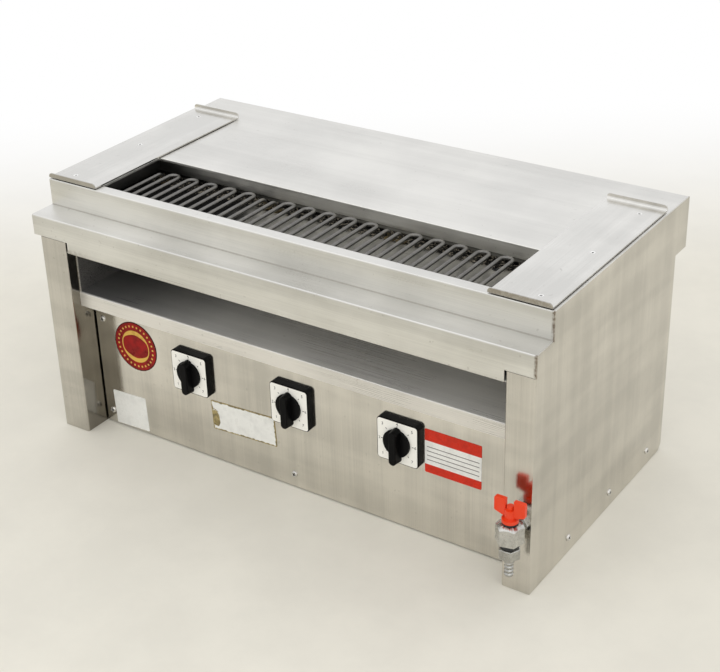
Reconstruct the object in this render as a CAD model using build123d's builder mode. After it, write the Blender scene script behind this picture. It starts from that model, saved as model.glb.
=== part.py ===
"""Electric yakitori grill of folded stainless sheet, with three heaters, three switches and a drain cock.

All lengths are in millimetres. X runs to the right, Y to the back and Z up from the underside.
The origin is in the middle of the underside, halfway between the front posts and the rear panel.
"""

import os

from build123d import *

# Overall sizes.
top_width = 840.0
top_height = 400.0
body_depth = 419.0
rear_overhang = 36.0
sheet = 1.5
bend = 2.0
foot_bend = 0.6
edge_round = 1.0
weld_gap = 0.3
fit_gap = 0.1
running_gap = 0.05
overrun = 5.0

# Top cover: ledge, riser, rear overhang and grill opening.
riser_height = 41.0
ledge_depth = 44.0
ledge_flange = 32.0
soffit_drop = 78.0
opening_depth = 127.5
rim_width = 19.0
opening_flange = 20.0

# Side panels and the posts folded from them.
left_inset = 13.0
left_post_width = 47.5
right_post_width = 42.5
post_round = 3.0
post_seam = 0.6
corner_cut = 9.0
panel_flange = 27.0
rear_flange = 22.0
rear_lap = 20.0

# Apron, shelf slot and control panel.
apron_drop = 18.0
apron_gap = 3.0
slot_height = 71.0
shelf_setback = 18.0
shelf_depth = 280.0
lip_height = 23.0
support_reach = 16.0
support_drop = 30.0
support_length = 90.0
support_setback = 150.0
panel_recess = 44.0
panel_foot = 1.5
panel_gap = 1.5
panel_side_gap = 2.2
panel_return = 12.0
panel_shank = 18.0
base_flange = 36.0

# Water pan, below the grill opening.
pan_margin = 7.0
pan_depth = 33.0
pan_rim = 8.0
pan_round = 3.0

# Skewer plates, raised above the top on spacers.
plate_width = 90.5
plate_overlap = 1.5
plate_inset = 4.5
plate_front_gap = 0.6
plate_rear_gap = 67.0
plate_sheet = 2.0
plate_lift = 1.0
front_lip = 7.7
rear_lip = 9.5
lip_round = 5.2
left_screw_inset = 31.7
right_screw_inset = 28.0
plate_screw_front = 23.9
plate_screw_rear = 31.0
spacer_radius = 6.0

# Screws: a countersunk one for the skewer plates, a low round head everywhere else.
screw_radius = 2.0
sink_radius = 3.7
plate_nut_flat = 7.0
plate_nut_height = 3.2
plate_screw_spare = 1.0
head_radius = 5.0
head_height = 2.4
head_crown = 1.0
shank_length = 8.0
side_screw_height = 24.0
side_screw_front = 111.0
side_screw_rear = 53.0
panel_screw_inset = 15.5
panel_screw_low = 23.0
panel_screw_drop = 50.0
rear_screw_low = 75.0
rear_screw_drop = 90.0
rear_screw_spread = 300.0

# Heaters: each is one tube laid to and fro, with both ends turned down through the pan floor.
runs_per_heater = 12
tube_radius = 3.0
heater_margin = 16.0
heater_gap = 19.0
heater_drop = 17.0
heater_front_gap = 9.0
heater_rear_gap = 11.5
turn_share = 0.48
leg_bend = 12.0
leg_length = 22.0
bushing_radius = 6.0
bushing_flange = 8.0
bushing_flange_height = 2.0
bushing_length = 11.0
bushing_nut_flat = 16.0
bushing_nut_height = 5.0
bead_radius = 5.0
bead_height = 8.0
stud_radius = 2.0
stud_length = 12.0
rest_front_gap = 18.0
rest_thickness = 3.0
rest_gap = 0.2

# Switches.
switch_left_margin = 189.9
switch_right_margin = 182.5
switch_drop = 91.4
frame_size = 66.5
frame_depth = 9.5
frame_round = 6.0
frame_edge = 1.5
legend_size = 63.5
legend_depth = 1.5
legend_round = 4.0
legend_hole = 9.0
neck_radius = 10.0
shaft_radius = 4.0
shaft_depth = 34.0
switch_body_size = 52.0
switch_body_depth = 60.0
switch_body_round = 3.0
knob_radius = 21.0
knob_disc = 4.0
knob_height = 14.5
knob_gap = 0.4
knob_edge = 1.2
grip_down = 31.0
grip_up = 24.0
grip_width = 14.2
grip_taper = 6.0
knob_bore_depth = 10.0

# Drain cock on the right post, with its axis in front of the post.
valve_setback = 29.0
valve_shift = 5.5
inlet_height = 111.0
hex_flat = 33.5
hex_turn = 14.0
inlet_rise = 11.0
hex_height = 25.0
hex_crown = 12.0
hex_dome = 3.0
hex_dome_radius = 11.0
inlet_radius = 7.5
inlet_bore = 5.0
inlet_reach = 4.0
ball_radius = 8.0
ball_gap = 0.1
stem_radius = 3.0
stem_slot = 2.0
locknut_flat = 22.0
locknut_height = 5.0
gasket_radius = 12.2
gasket_height = 8.5
seal_radius = 10.5
seal_height = 2.0
seal_gap = 0.3
outlet_flat = 27.0
outlet_height = 17.0
outlet_chamfer = 1.8
outlet_neck = 11.0
barb_length = 29.0
barb_radius = 5.2
barb_rib = 6.4
barb_bore = 3.5
barb_ribs = 4
barb_shoulder = 6.0
barb_collar = 7.4
handle_span = 44.0
hub_flange_radius = 11.2
hub_flange_height = 5.0
hub_radius = 7.3
hub_height = 18.2
hub_nub_radius = 4.5
hub_nub_height = 5.5
wing_thickness = 7.0
wing_root = 6.7
wing_low = 12.2
wing_top = 32.7
wing_width = 16.0
wing_round = 2.5
wing_edge = 1.0

# Drain pipe from the pan to the cock.
drain_inset = 57.0
drain_rear_gap = 19.5
drain_front_gap = 44.0
drain_radius = 8.0
drain_bore = 6.0
drain_bend = 17.0
drain_drop = 21.0

# Cable gland in the rear panel and terminal block on the base plate.
gland_inset = 76.0
gland_height = 70.0
gland_radius = 12.0
gland_length = 18.0
gland_dome = 5.0
gland_thread = 8.0
gland_thread_length = 11.0
gland_bore = 5.0
gland_nut_flat = 22.0
gland_nut_height = 5.0
block_length = 84.0
block_depth = 30.0
block_height = 24.0
block_rear = 90.0
block_slots = 5
block_slot_width = 12.0
block_slot_depth = 9.0

# Labels on the control panel, all bare.
label_thickness = 0.5
badge_inset = 78.5
badge_rise = 5.1
badge_radius = 41.0
square_label_inset = 54.5
square_label_rise = 32.0
square_label_width = 66.0
square_label_height = 58.5
square_label_tilt = 2.4
long_label_shift = -1.6
long_label_drop = 61.6
long_label_width = 118.0
long_label_height = 49.0
long_label_tilt = 2.6
banded_plate_shift = 82.5
banded_plate_drop = 3.6
banded_plate_width = 88.0
banded_plate_height = 69.0
label_round = 2.0

# Planes and edges that several pieces share.
left_end = -top_width / 2
right_end = top_width / 2
front = -body_depth / 2
rear = body_depth / 2
top_rear = rear + rear_overhang
riser = front + ledge_depth
ledge_height = top_height - riser_height
flange_foot = ledge_height - ledge_flange
soffit_height = top_height - soffit_drop
apron_foot = flange_foot - apron_drop
shelf_height = apron_foot - slot_height
pan_floor = top_height - pan_depth
top_under = top_height - sheet
left_face = left_end + left_inset
left_inner = left_face + sheet
right_inner = right_end - sheet
left_return = left_face + left_post_width
right_return = right_end - right_post_width
post_top = flange_foot - post_seam
open_left = left_end + plate_width - plate_overlap
open_right = right_end - plate_inset - plate_width
open_front = riser + rim_width
open_rear = open_front + opening_depth
panel_front = front + panel_recess
panel_back = panel_front + sheet
panel_seat = panel_front + panel_return
seat_back = panel_seat + sheet
shelf_front = front + shelf_setback
shelf_rear = shelf_front + shelf_depth
shelf_under = shelf_height - sheet
panel_top = shelf_under - panel_gap
rear_inner = rear - sheet
pan_left = open_left - pan_margin
pan_right = open_right + pan_margin
pan_front = open_front - pan_margin
pan_rear = open_rear + pan_margin
plate_under = top_height + plate_lift
plate_top = plate_under + plate_sheet
hole_radius = screw_radius + fit_gap
post_inside = post_round - sheet
valve_x = (right_return + right_end) / 2 + valve_shift
valve_y = front - valve_setback
inlet_end = front + sheet + locknut_height + inlet_reach
drain_x = open_right - drain_inset
drain_y = open_rear - drain_rear_gap
drain_run_y = open_front + drain_front_gap
drain_run = pan_floor - sheet - drain_drop
gland_x = left_face + gland_inset

# Places of the repeated fasteners.
plate_front = riser + plate_front_gap
plate_rear = top_rear - plate_rear_gap
plate_row_front = plate_front + plate_screw_front
plate_row_rear = plate_rear - plate_screw_rear
plate_rows = [plate_row_front, (plate_row_front + plate_row_rear) / 2, plate_row_rear]
plate_screw_xs = [left_end + left_screw_inset, open_right + plate_width - right_screw_inset]
plate_screws = [(x, y) for x in plate_screw_xs for y in plate_rows]
side_row_front = front + side_screw_front
side_row_rear = rear - side_screw_rear
side_rows = [side_row_front, (side_row_front + side_row_rear) / 2, side_row_rear]
panel_screw_left = left_return + panel_screw_inset
panel_screw_right = right_return - panel_screw_inset
panel_screw_middle = (panel_screw_left + panel_screw_right) / 2
panel_screw_rows = (panel_screw_low, panel_top - panel_screw_drop)
panel_screws = [(x, z) for x in (panel_screw_left, panel_screw_right) for z in panel_screw_rows]
panel_screws.append((panel_screw_middle, panel_screw_low))
rear_screw_left = left_inner + rear_flange / 2
rear_screw_right = right_inner - rear_flange / 2
rear_screw_rows = (rear_screw_low, soffit_height - rear_screw_drop)
rear_screws = [(x, z) for x in (rear_screw_left, rear_screw_right) for z in rear_screw_rows]
rear_screws += [(-rear_screw_spread / 2, panel_screw_low), (rear_screw_spread / 2, panel_screw_low)]

# Places of the heaters and switches, from left to right.
sides = ("left", "middle", "right")
heaters_width = open_right - open_left - 2 * heater_margin
heater_width = (heaters_width - (len(sides) - 1) * heater_gap) / len(sides)
tube_pitch = heater_width / (runs_per_heater - 1)
heater_starts = [open_left + heater_margin + (heater_width + heater_gap) * step for step in range(len(sides))]
heater_height = top_height - heater_drop
heater_near = open_front + heater_front_gap
leg_y = open_rear - heater_rear_gap
leg_foot = pan_floor - leg_length
bushing_foot = pan_floor - bushing_length
legs = [(start + offset_x, leg_y) for start in heater_starts for offset_x in (0, heater_width)]
switch_left = left_return + switch_left_margin
switch_right = right_return - switch_right_margin
switch_middle = (switch_left + switch_right) / 2
switch_xs = [switch_left, switch_middle, switch_right]
switch_height = panel_top - switch_drop

# Middles of the labels.
square_label_x = left_return + square_label_inset
square_label_z = panel_foot + square_label_rise
badge_x = left_return + badge_inset
badge_z = (square_label_z + square_label_height / 2 + panel_top) / 2 + badge_rise
long_label_x = (switch_left + switch_middle) / 2 + long_label_shift
long_label_z = switch_height - long_label_drop
banded_plate_x = switch_right + banded_plate_shift
banded_plate_z = switch_height - banded_plate_drop

os.makedirs("parts", exist_ok=True)


def slab(x0, x1, y0, y1, z0, z1, mode=Mode.ADD):
    """A box between two corners, in the part being built."""
    with Locations((x0, y0, z0)):
        Box(x1 - x0, y1 - y0, z1 - z0, align=(Align.MIN, Align.MIN, Align.MIN), mode=mode)


def rod(radius, start, end, mode=Mode.ADD):
    """A round bar between two points, in the part being built."""
    run = Vector(*end) - Vector(*start)
    with Locations(Plane(origin=start, z_dir=run.normalized()).location):
        Cylinder(radius, run.length, align=(Align.CENTER, Align.CENTER, Align.MIN), mode=mode)


def round_head(start, direction, shank):
    """A low round-headed screw: its head stands on start, against direction, and its shank follows it."""
    seat = Vector(*start)
    way = Vector(*direction)
    with Locations(Plane(origin=seat - way * head_height, z_dir=way).location):
        Cylinder(head_radius, head_height, align=(Align.CENTER, Align.CENTER, Align.MIN))
        Cylinder(screw_radius, head_height + shank, align=(Align.CENTER, Align.CENTER, Align.MIN))


# Top cover: one folded sheet from the ledge's flange over the top to the soffit behind.
with BuildPart() as top_cover:
    with BuildSketch(Plane.YZ.offset(left_end)):
        with BuildLine():
            FilletPolyline(
                (front, flange_foot),
                (front, ledge_height),
                (riser, ledge_height),
                (riser, top_height),
                (top_rear, top_height),
                (top_rear, soffit_height),
                (rear, soffit_height),
                radius=[bend, foot_bend, bend, bend, bend],
            )
            offset(amount=sheet, side=Side.RIGHT)
        make_face()
    extrude(amount=right_inner - left_end)
    slab(open_left, open_right, open_front, open_rear, top_under, top_height, Mode.SUBTRACT)
    flange_low = top_height - opening_flange
    slab(open_left - sheet, open_right + sheet, open_front - sheet, open_front, flange_low, top_under)
    slab(open_left - sheet, open_right + sheet, open_rear, open_rear + sheet, flange_low, top_under)
    slab(open_left - sheet, open_left, open_front, open_rear, flange_low, top_under)
    slab(open_right, open_right + sheet, open_front, open_rear, flange_low, top_under)
    fillet(top_cover.faces().sort_by(Axis.Z)[-1].inner_wires()[0].edges(), radius=edge_round)
    for x, y in plate_screws:
        rod(hole_radius, (x, y, top_under - overrun), (x, y, top_height + overrun), Mode.SUBTRACT)
top_cover.part.label = "top_cover"
export_step(top_cover.part, "parts/top_cover.step")

# Left end plate: closes the proud left end of the top, with a strip turned in to the side panel.
with BuildPart() as left_end_plate:
    with BuildSketch(Plane.YZ.offset(left_end)):
        with BuildLine():
            Polyline(
                (front + sheet + weld_gap, flange_foot),
                (front + sheet + weld_gap, ledge_height - sheet - weld_gap),
                (riser + sheet + weld_gap, ledge_height - sheet - weld_gap),
                (riser + sheet + weld_gap, top_under - weld_gap),
                (top_rear - sheet - weld_gap, top_under - weld_gap),
                (top_rear - sheet - weld_gap, soffit_height + sheet + weld_gap),
                (rear, soffit_height + sheet + weld_gap),
                (rear, flange_foot),
                close=True,
            )
        make_face()
    extrude(amount=sheet)
    slab(left_end, left_face, front + sheet + weld_gap, rear, flange_foot, flange_foot + sheet)
left_end_plate.part.label = "left_end_plate"
export_step(left_end_plate.part, "parts/left_end_plate.step")

# Right side panel: the full profile, folded at the front into the right post.
with BuildPart() as right_side_panel:
    with BuildSketch(Plane.YZ.offset(right_inner)):
        with BuildLine():
            Polyline(
                (front, 0),
                (front, ledge_height),
                (riser, ledge_height),
                (riser, top_height),
                (top_rear, top_height),
                (top_rear, soffit_height),
                (rear, soffit_height),
                (rear, corner_cut),
                (rear - corner_cut, 0),
                close=True,
            )
        make_face()
    extrude(amount=sheet)
    slab(right_return, right_inner, front, front + sheet, 0, post_top)
    slab(right_return, right_return + sheet, front, seat_back, 0, post_top)
    slab(right_return - panel_flange, right_return, panel_seat, seat_back, 0, shelf_under)
    slab(right_inner - rear_flange, right_inner, rear_inner - sheet, rear_inner, 0, soffit_height)
    post_edges = right_side_panel.edges().filter_by(Axis.Z)
    fillet(post_edges.sort_by_distance((right_return, front, 0))[0], radius=post_round)
    post_edges = right_side_panel.edges().filter_by(Axis.Z)
    fillet(post_edges.sort_by_distance((right_return + sheet, front + sheet, 0))[0], radius=post_inside)
    post_edges = right_side_panel.edges().filter_by(Axis.Z)
    fillet(post_edges.sort_by_distance((right_end, front, 0))[0], radius=edge_round)
    rod(
        inlet_radius + fit_gap,
        (valve_x, front - overrun, inlet_height),
        (valve_x, front + overrun, inlet_height),
        Mode.SUBTRACT,
    )
    for y in side_rows:
        rod(
            hole_radius,
            (right_inner - overrun, y, side_screw_height),
            (right_end + overrun, y, side_screw_height),
            Mode.SUBTRACT,
        )
    for z in panel_screw_rows:
        rod(
            hole_radius,
            (panel_screw_right, panel_seat - overrun, z),
            (panel_screw_right, seat_back + overrun, z),
            Mode.SUBTRACT,
        )
    for z in rear_screw_rows:
        rod(
            hole_radius,
            (rear_screw_right, rear_inner - overrun, z),
            (rear_screw_right, rear_inner + overrun, z),
            Mode.SUBTRACT,
        )
right_side_panel.part.label = "right_side_panel"
export_step(right_side_panel.part, "parts/right_side_panel.step")

# Left side panel: folded at the front into the left post, its upper part inside the top's left end.
with BuildPart() as left_side_panel:
    with BuildSketch(Plane.YZ.offset(left_face)):
        with BuildLine():
            Polyline(
                (front, 0),
                (front, post_top),
                (riser + sheet + weld_gap, post_top),
                (riser + sheet + weld_gap, top_under - weld_gap),
                (top_rear - sheet - weld_gap, top_under - weld_gap),
                (top_rear - sheet - weld_gap, soffit_height + sheet + weld_gap),
                (rear, soffit_height + sheet + weld_gap),
                (rear, corner_cut),
                (rear - corner_cut, 0),
                close=True,
            )
        make_face()
    extrude(amount=sheet)
    slab(left_inner, left_return, front, front + sheet, 0, post_top)
    slab(left_return - sheet, left_return, front, seat_back, 0, post_top)
    slab(left_return, left_return + panel_flange, panel_seat, seat_back, 0, shelf_under)
    slab(left_inner, left_inner + rear_flange, rear_inner - sheet, rear_inner, 0, soffit_height)
    post_edges = left_side_panel.edges().filter_by(Axis.Z)
    fillet(post_edges.sort_by_distance((left_return, front, 0))[0], radius=post_round)
    post_edges = left_side_panel.edges().filter_by(Axis.Z)
    fillet(post_edges.sort_by_distance((left_return - sheet, front + sheet, 0))[0], radius=post_inside)
    post_edges = left_side_panel.edges().filter_by(Axis.Z)
    fillet(post_edges.sort_by_distance((left_face, front, 0))[0], radius=edge_round)
    for y in side_rows:
        rod(
            hole_radius,
            (left_face - overrun, y, side_screw_height),
            (left_inner + overrun, y, side_screw_height),
            Mode.SUBTRACT,
        )
    for z in panel_screw_rows:
        rod(
            hole_radius,
            (panel_screw_left, panel_seat - overrun, z),
            (panel_screw_left, seat_back + overrun, z),
            Mode.SUBTRACT,
        )
    for z in rear_screw_rows:
        rod(
            hole_radius,
            (rear_screw_left, rear_inner - overrun, z),
            (rear_screw_left, rear_inner + overrun, z),
            Mode.SUBTRACT,
        )
left_side_panel.part.label = "left_side_panel"
export_step(left_side_panel.part, "parts/left_side_panel.step")

# Rear panel, between the side panels, with its upper edge inside the top.
with BuildPart() as rear_panel:
    slab(left_inner, right_inner, rear_inner, rear, panel_foot, soffit_height + rear_lap)
    rod(
        gland_thread + fit_gap,
        (gland_x, rear_inner - overrun, gland_height),
        (gland_x, rear + overrun, gland_height),
        Mode.SUBTRACT,
    )
    for x, z in rear_screws:
        rod(hole_radius, (x, rear_inner - overrun, z), (x, rear + overrun, z), Mode.SUBTRACT)
rear_panel.part.label = "rear_panel"
export_step(rear_panel.part, "parts/rear_panel.step")

# Base plate: a floor with flanges turned up against the side, front and rear panels.
with BuildPart() as base_plate:
    base_rear = rear_inner - sheet
    slab(left_inner, right_inner, seat_back, base_rear, 0, sheet)
    slab(left_inner, left_inner + sheet, seat_back, base_rear, 0, base_flange)
    slab(right_inner - sheet, right_inner, seat_back, base_rear, 0, base_flange)
    slab(
        left_return + panel_flange + panel_gap,
        right_return - panel_flange - panel_gap,
        panel_seat,
        seat_back,
        0,
        base_flange,
    )
    slab(
        left_inner + rear_flange + panel_gap,
        right_inner - rear_flange - panel_gap,
        base_rear,
        rear_inner,
        0,
        base_flange,
    )
    for y in side_rows:
        rod(
            hole_radius,
            (left_face - overrun, y, side_screw_height),
            (left_inner + overrun, y, side_screw_height),
            Mode.SUBTRACT,
        )
        rod(
            hole_radius,
            (right_inner - overrun, y, side_screw_height),
            (right_end + overrun, y, side_screw_height),
            Mode.SUBTRACT,
        )
    rod(
        hole_radius,
        (panel_screw_middle, panel_seat - overrun, panel_screw_low),
        (panel_screw_middle, seat_back + overrun, panel_screw_low),
        Mode.SUBTRACT,
    )
    for x, z in rear_screws[-2:]:
        rod(hole_radius, (x, base_rear - overrun, z), (x, rear + overrun, z), Mode.SUBTRACT)
base_plate.part.label = "base_plate"
export_step(base_plate.part, "parts/base_plate.step")

# Apron: the strip that hangs behind the ledge's flange, between the posts.
with BuildPart() as apron:
    slab(
        left_return + apron_gap,
        right_return - apron_gap,
        front + sheet,
        front + 2 * sheet,
        apron_foot,
        ledge_height - 2 * bend,
    )
apron.part.label = "apron"
export_step(apron.part, "parts/apron.step")

# Shelf: floor with down-turned front lip, back wall and side liners.
with BuildPart() as shelf:
    with BuildSketch(Plane.YZ.offset(left_return)):
        with BuildLine():
            FilletPolyline(
                (shelf_front, shelf_height - lip_height),
                (shelf_front, shelf_height),
                (shelf_rear, shelf_height),
                (shelf_rear, apron_foot),
                radius=bend,
            )
            offset(amount=sheet, side=Side.RIGHT)
        make_face()
    extrude(amount=right_return - left_return)
    slab(left_return, left_return + sheet, shelf_front + bend, shelf_rear, shelf_under, apron_foot)
    slab(right_return - sheet, right_return, shelf_front + bend, shelf_rear, shelf_under, apron_foot)
shelf.part.label = "shelf"
export_step(shelf.part, "parts/shelf.step")

# Shelf supports: an angle on each side panel, reaching under the shelf.
with BuildPart() as shelf_supports:
    support_front = front + support_setback
    support_rear = support_front + support_length
    support_low = shelf_under - support_drop
    support_top = shelf_under - sheet
    left_reach = left_return + support_reach
    right_reach = right_return - support_reach
    slab(left_inner, left_reach, support_front, support_rear, support_top, shelf_under)
    slab(left_inner, left_inner + sheet, support_front, support_rear, support_low, shelf_under)
    slab(right_reach, right_inner, support_front, support_rear, support_top, shelf_under)
    slab(right_inner - sheet, right_inner, support_front, support_rear, support_low, shelf_under)
shelf_supports.part.label = "shelf_supports"
export_step(shelf_supports.part, "parts/shelf_supports.step")

# Wiring cover: the ceiling of the shelf slot, below the pan and the heater terminals.
with BuildPart() as wiring_cover:
    slab(left_return, right_return, front + 2 * sheet, shelf_rear + sheet, apron_foot, apron_foot + sheet)
wiring_cover.part.label = "wiring_cover"
export_step(wiring_cover.part, "parts/wiring_cover.step")

# Control panel: a shallow tray set back between the posts, with its edges turned in to the panel's seat.
with BuildPart() as control_panel:
    panel_left = left_return + panel_side_gap
    panel_right = right_return - panel_side_gap
    slab(panel_left, panel_right, panel_front, panel_seat, panel_foot, panel_top)
    fillet(control_panel.faces().sort_by(Axis.Y)[0].edges(), radius=edge_round)
    slab(
        panel_left + sheet,
        panel_right - sheet,
        panel_back,
        panel_seat,
        panel_foot + sheet,
        panel_top - sheet,
        Mode.SUBTRACT,
    )
    for x in switch_xs:
        rod(
            neck_radius + fit_gap,
            (x, panel_front - overrun, switch_height),
            (x, panel_back + overrun, switch_height),
            Mode.SUBTRACT,
        )
    for x, z in panel_screws:
        rod(hole_radius, (x, panel_front - overrun, z), (x, panel_back + overrun, z), Mode.SUBTRACT)
control_panel.part.label = "control_panel"
export_step(control_panel.part, "parts/control_panel.step")

# Water pan: hangs by its rim under the grill opening.
with BuildPart() as water_pan:
    slab(pan_left, pan_right, pan_front, pan_rear, pan_floor - sheet, top_under)
    fillet(water_pan.faces().sort_by(Axis.Z)[0].edges(), radius=pan_round)
    slab(
        pan_left - pan_rim,
        pan_right + pan_rim,
        pan_front - pan_rim,
        pan_rear + pan_rim,
        top_under - sheet,
        top_under,
    )
    slab(
        pan_left + sheet,
        pan_right - sheet,
        pan_front + sheet,
        pan_rear - sheet,
        pan_floor,
        top_under,
        Mode.SUBTRACT,
    )
    for x, y in legs:
        rod(
            bushing_radius + fit_gap,
            (x, y, pan_floor - sheet - overrun),
            (x, y, pan_floor + overrun),
            Mode.SUBTRACT,
        )
    rod(
        drain_bore,
        (drain_x, drain_y, pan_floor - sheet - overrun),
        (drain_x, drain_y, pan_floor + overrun),
        Mode.SUBTRACT,
    )
water_pan.part.label = "water_pan"
export_step(water_pan.part, "parts/water_pan.step")

# Drain pipe: from the pan floor, down inside the right post and forward to the cock.
with BuildPart() as drain_pipe:
    with BuildLine() as drain_path:
        FilletPolyline(
            (drain_x, drain_y, pan_floor - sheet),
            (drain_x, drain_y, drain_run),
            (drain_x, drain_run_y, drain_run),
            (valve_x, drain_run_y, drain_run),
            (valve_x, drain_run_y, inlet_height),
            (valve_x, inlet_end, inlet_height),
            radius=drain_bend,
        )
    with BuildSketch(Plane(origin=drain_path.line @ 0, z_dir=drain_path.line % 0)):
        Circle(drain_radius)
        Circle(drain_bore, mode=Mode.SUBTRACT)
    sweep()
drain_pipe.part.label = "drain_pipe"
export_step(drain_pipe.part, "parts/drain_pipe.step")

# Skewer plates: a flat plate at each end of the opening, with lips turned up at front and back.
for side, plate_left in (("left", left_end), ("right", open_right)):
    with BuildPart() as skewer_plate:
        with BuildSketch(Plane.YZ.offset(plate_left)):
            with BuildLine():
                FilletPolyline(
                    (plate_front, plate_under + front_lip),
                    (plate_front, plate_under),
                    (plate_rear, plate_under),
                    (plate_rear, plate_under + rear_lip),
                    radius=bend,
                )
                offset(amount=plate_sheet, side=Side.LEFT)
            make_face()
        extrude(amount=plate_width)
        levels = skewer_plate.faces().filter_by(Axis.Z).sort_by(Axis.Y)
        lip_ends = levels[0].edges().filter_by(Axis.Y) + levels[-1].edges().filter_by(Axis.Y)
        fillet(lip_ends, radius=lip_round)
        for x, y in plate_screws:
            if plate_left < x < plate_left + plate_width:
                with Locations((x, y, plate_top)):
                    CounterSinkHole(hole_radius, sink_radius + fit_gap)
    skewer_plate.part.label = side + "_skewer_plate"
    export_step(skewer_plate.part, "parts/" + side + "_skewer_plate.step")

# Spacers that lift the skewer plates off the top.
with BuildPart() as skewer_plate_spacers:
    for x, y in plate_screws:
        rod(spacer_radius, (x, y, top_height), (x, y, plate_under))
        rod(hole_radius, (x, y, top_height), (x, y, plate_under), Mode.SUBTRACT)
skewer_plate_spacers.part.label = "skewer_plate_spacers"
export_step(skewer_plate_spacers.part, "parts/skewer_plate_spacers.step")

# Countersunk screws through plate, spacer and top.
with BuildPart() as skewer_plate_screws:
    screw_foot = top_under - plate_nut_height - plate_screw_spare
    sink_depth = sink_radius - screw_radius
    for x, y in plate_screws:
        rod(screw_radius, (x, y, screw_foot), (x, y, plate_top))
        with Locations((x, y, plate_top - sink_depth)):
            Cone(screw_radius, sink_radius, sink_depth, align=(Align.CENTER, Align.CENTER, Align.MIN))
skewer_plate_screws.part.label = "skewer_plate_screws"
export_step(skewer_plate_screws.part, "parts/skewer_plate_screws.step")

# Nuts of those screws, under the top.
with BuildPart() as skewer_plate_nuts:
    with BuildSketch(Plane.XY.offset(top_under - plate_nut_height)):
        with Locations(*plate_screws):
            RegularPolygon(plate_nut_flat / 2, 6, major_radius=False)
            Circle(hole_radius, mode=Mode.SUBTRACT)
    extrude(amount=plate_nut_height)
skewer_plate_nuts.part.label = "skewer_plate_nuts"
export_step(skewer_plate_nuts.part, "parts/skewer_plate_nuts.step")

# Heaters: one tube each, to and fro along Y, with both ends turned down at the back.
for side, start in zip(sides, heater_starts):
    route = [(start, leg_y, leg_foot), (start, leg_y, heater_height), (start, heater_near, heater_height)]
    for run in range(1, runs_per_heater):
        run_x = start + tube_pitch * run
        ends = (heater_near, leg_y) if run % 2 else (leg_y, heater_near)
        route += [(run_x, ends[0], heater_height), (run_x, ends[1], heater_height)]
    route.append((start + heater_width, leg_y, leg_foot))
    turns = [leg_bend] + [tube_pitch * turn_share] * (len(route) - 4) + [leg_bend]
    with BuildPart() as heater:
        with BuildLine() as tube_path:
            FilletPolyline(*route, radius=turns)
        with BuildSketch(Plane(origin=tube_path.line @ 0, z_dir=tube_path.line % 0)):
            Circle(tube_radius)
        sweep()
    heater.part.label = "heater_" + side
    export_step(heater.part, "parts/heater_" + side + ".step")

# Bushings that carry the heater legs through the pan floor.
with BuildPart() as heater_bushings:
    for x, y in legs:
        rod(bushing_flange, (x, y, pan_floor), (x, y, pan_floor + bushing_flange_height))
        rod(bushing_radius, (x, y, bushing_foot), (x, y, pan_floor))
        rod(
            tube_radius + running_gap,
            (x, y, bushing_foot),
            (x, y, pan_floor + bushing_flange_height),
            Mode.SUBTRACT,
        )
heater_bushings.part.label = "heater_bushings"
export_step(heater_bushings.part, "parts/heater_bushings.step")

# Nuts of the bushings, under the pan floor.
with BuildPart() as heater_nuts:
    with BuildSketch(Plane.XY.offset(pan_floor - sheet - bushing_nut_height)):
        with Locations(*legs):
            RegularPolygon(bushing_nut_flat / 2, 6, major_radius=False)
            Circle(bushing_radius + running_gap, mode=Mode.SUBTRACT)
    extrude(amount=bushing_nut_height)
heater_nuts.part.label = "heater_nuts"
export_step(heater_nuts.part, "parts/heater_nuts.step")

# Terminals: an insulating bead and a stud at the foot of each heater leg.
with BuildPart() as heater_terminals:
    for x, y in legs:
        rod(bead_radius, (x, y, leg_foot - bead_height), (x, y, leg_foot))
        rod(stud_radius, (x, y, leg_foot - bead_height - stud_length), (x, y, leg_foot - bead_height))
heater_terminals.part.label = "heater_terminals"
export_step(heater_terminals.part, "parts/heater_terminals.step")

# Heater rest: a bar on edge across the pan, under the front of the tubes.
with BuildPart() as heater_rest:
    slab(
        pan_left + sheet,
        pan_right - sheet,
        open_front + rest_front_gap,
        open_front + rest_front_gap + rest_thickness,
        pan_floor,
        heater_height - tube_radius - rest_gap,
    )
heater_rest.part.label = "heater_rest"
export_step(heater_rest.part, "parts/heater_rest.step")

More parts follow.
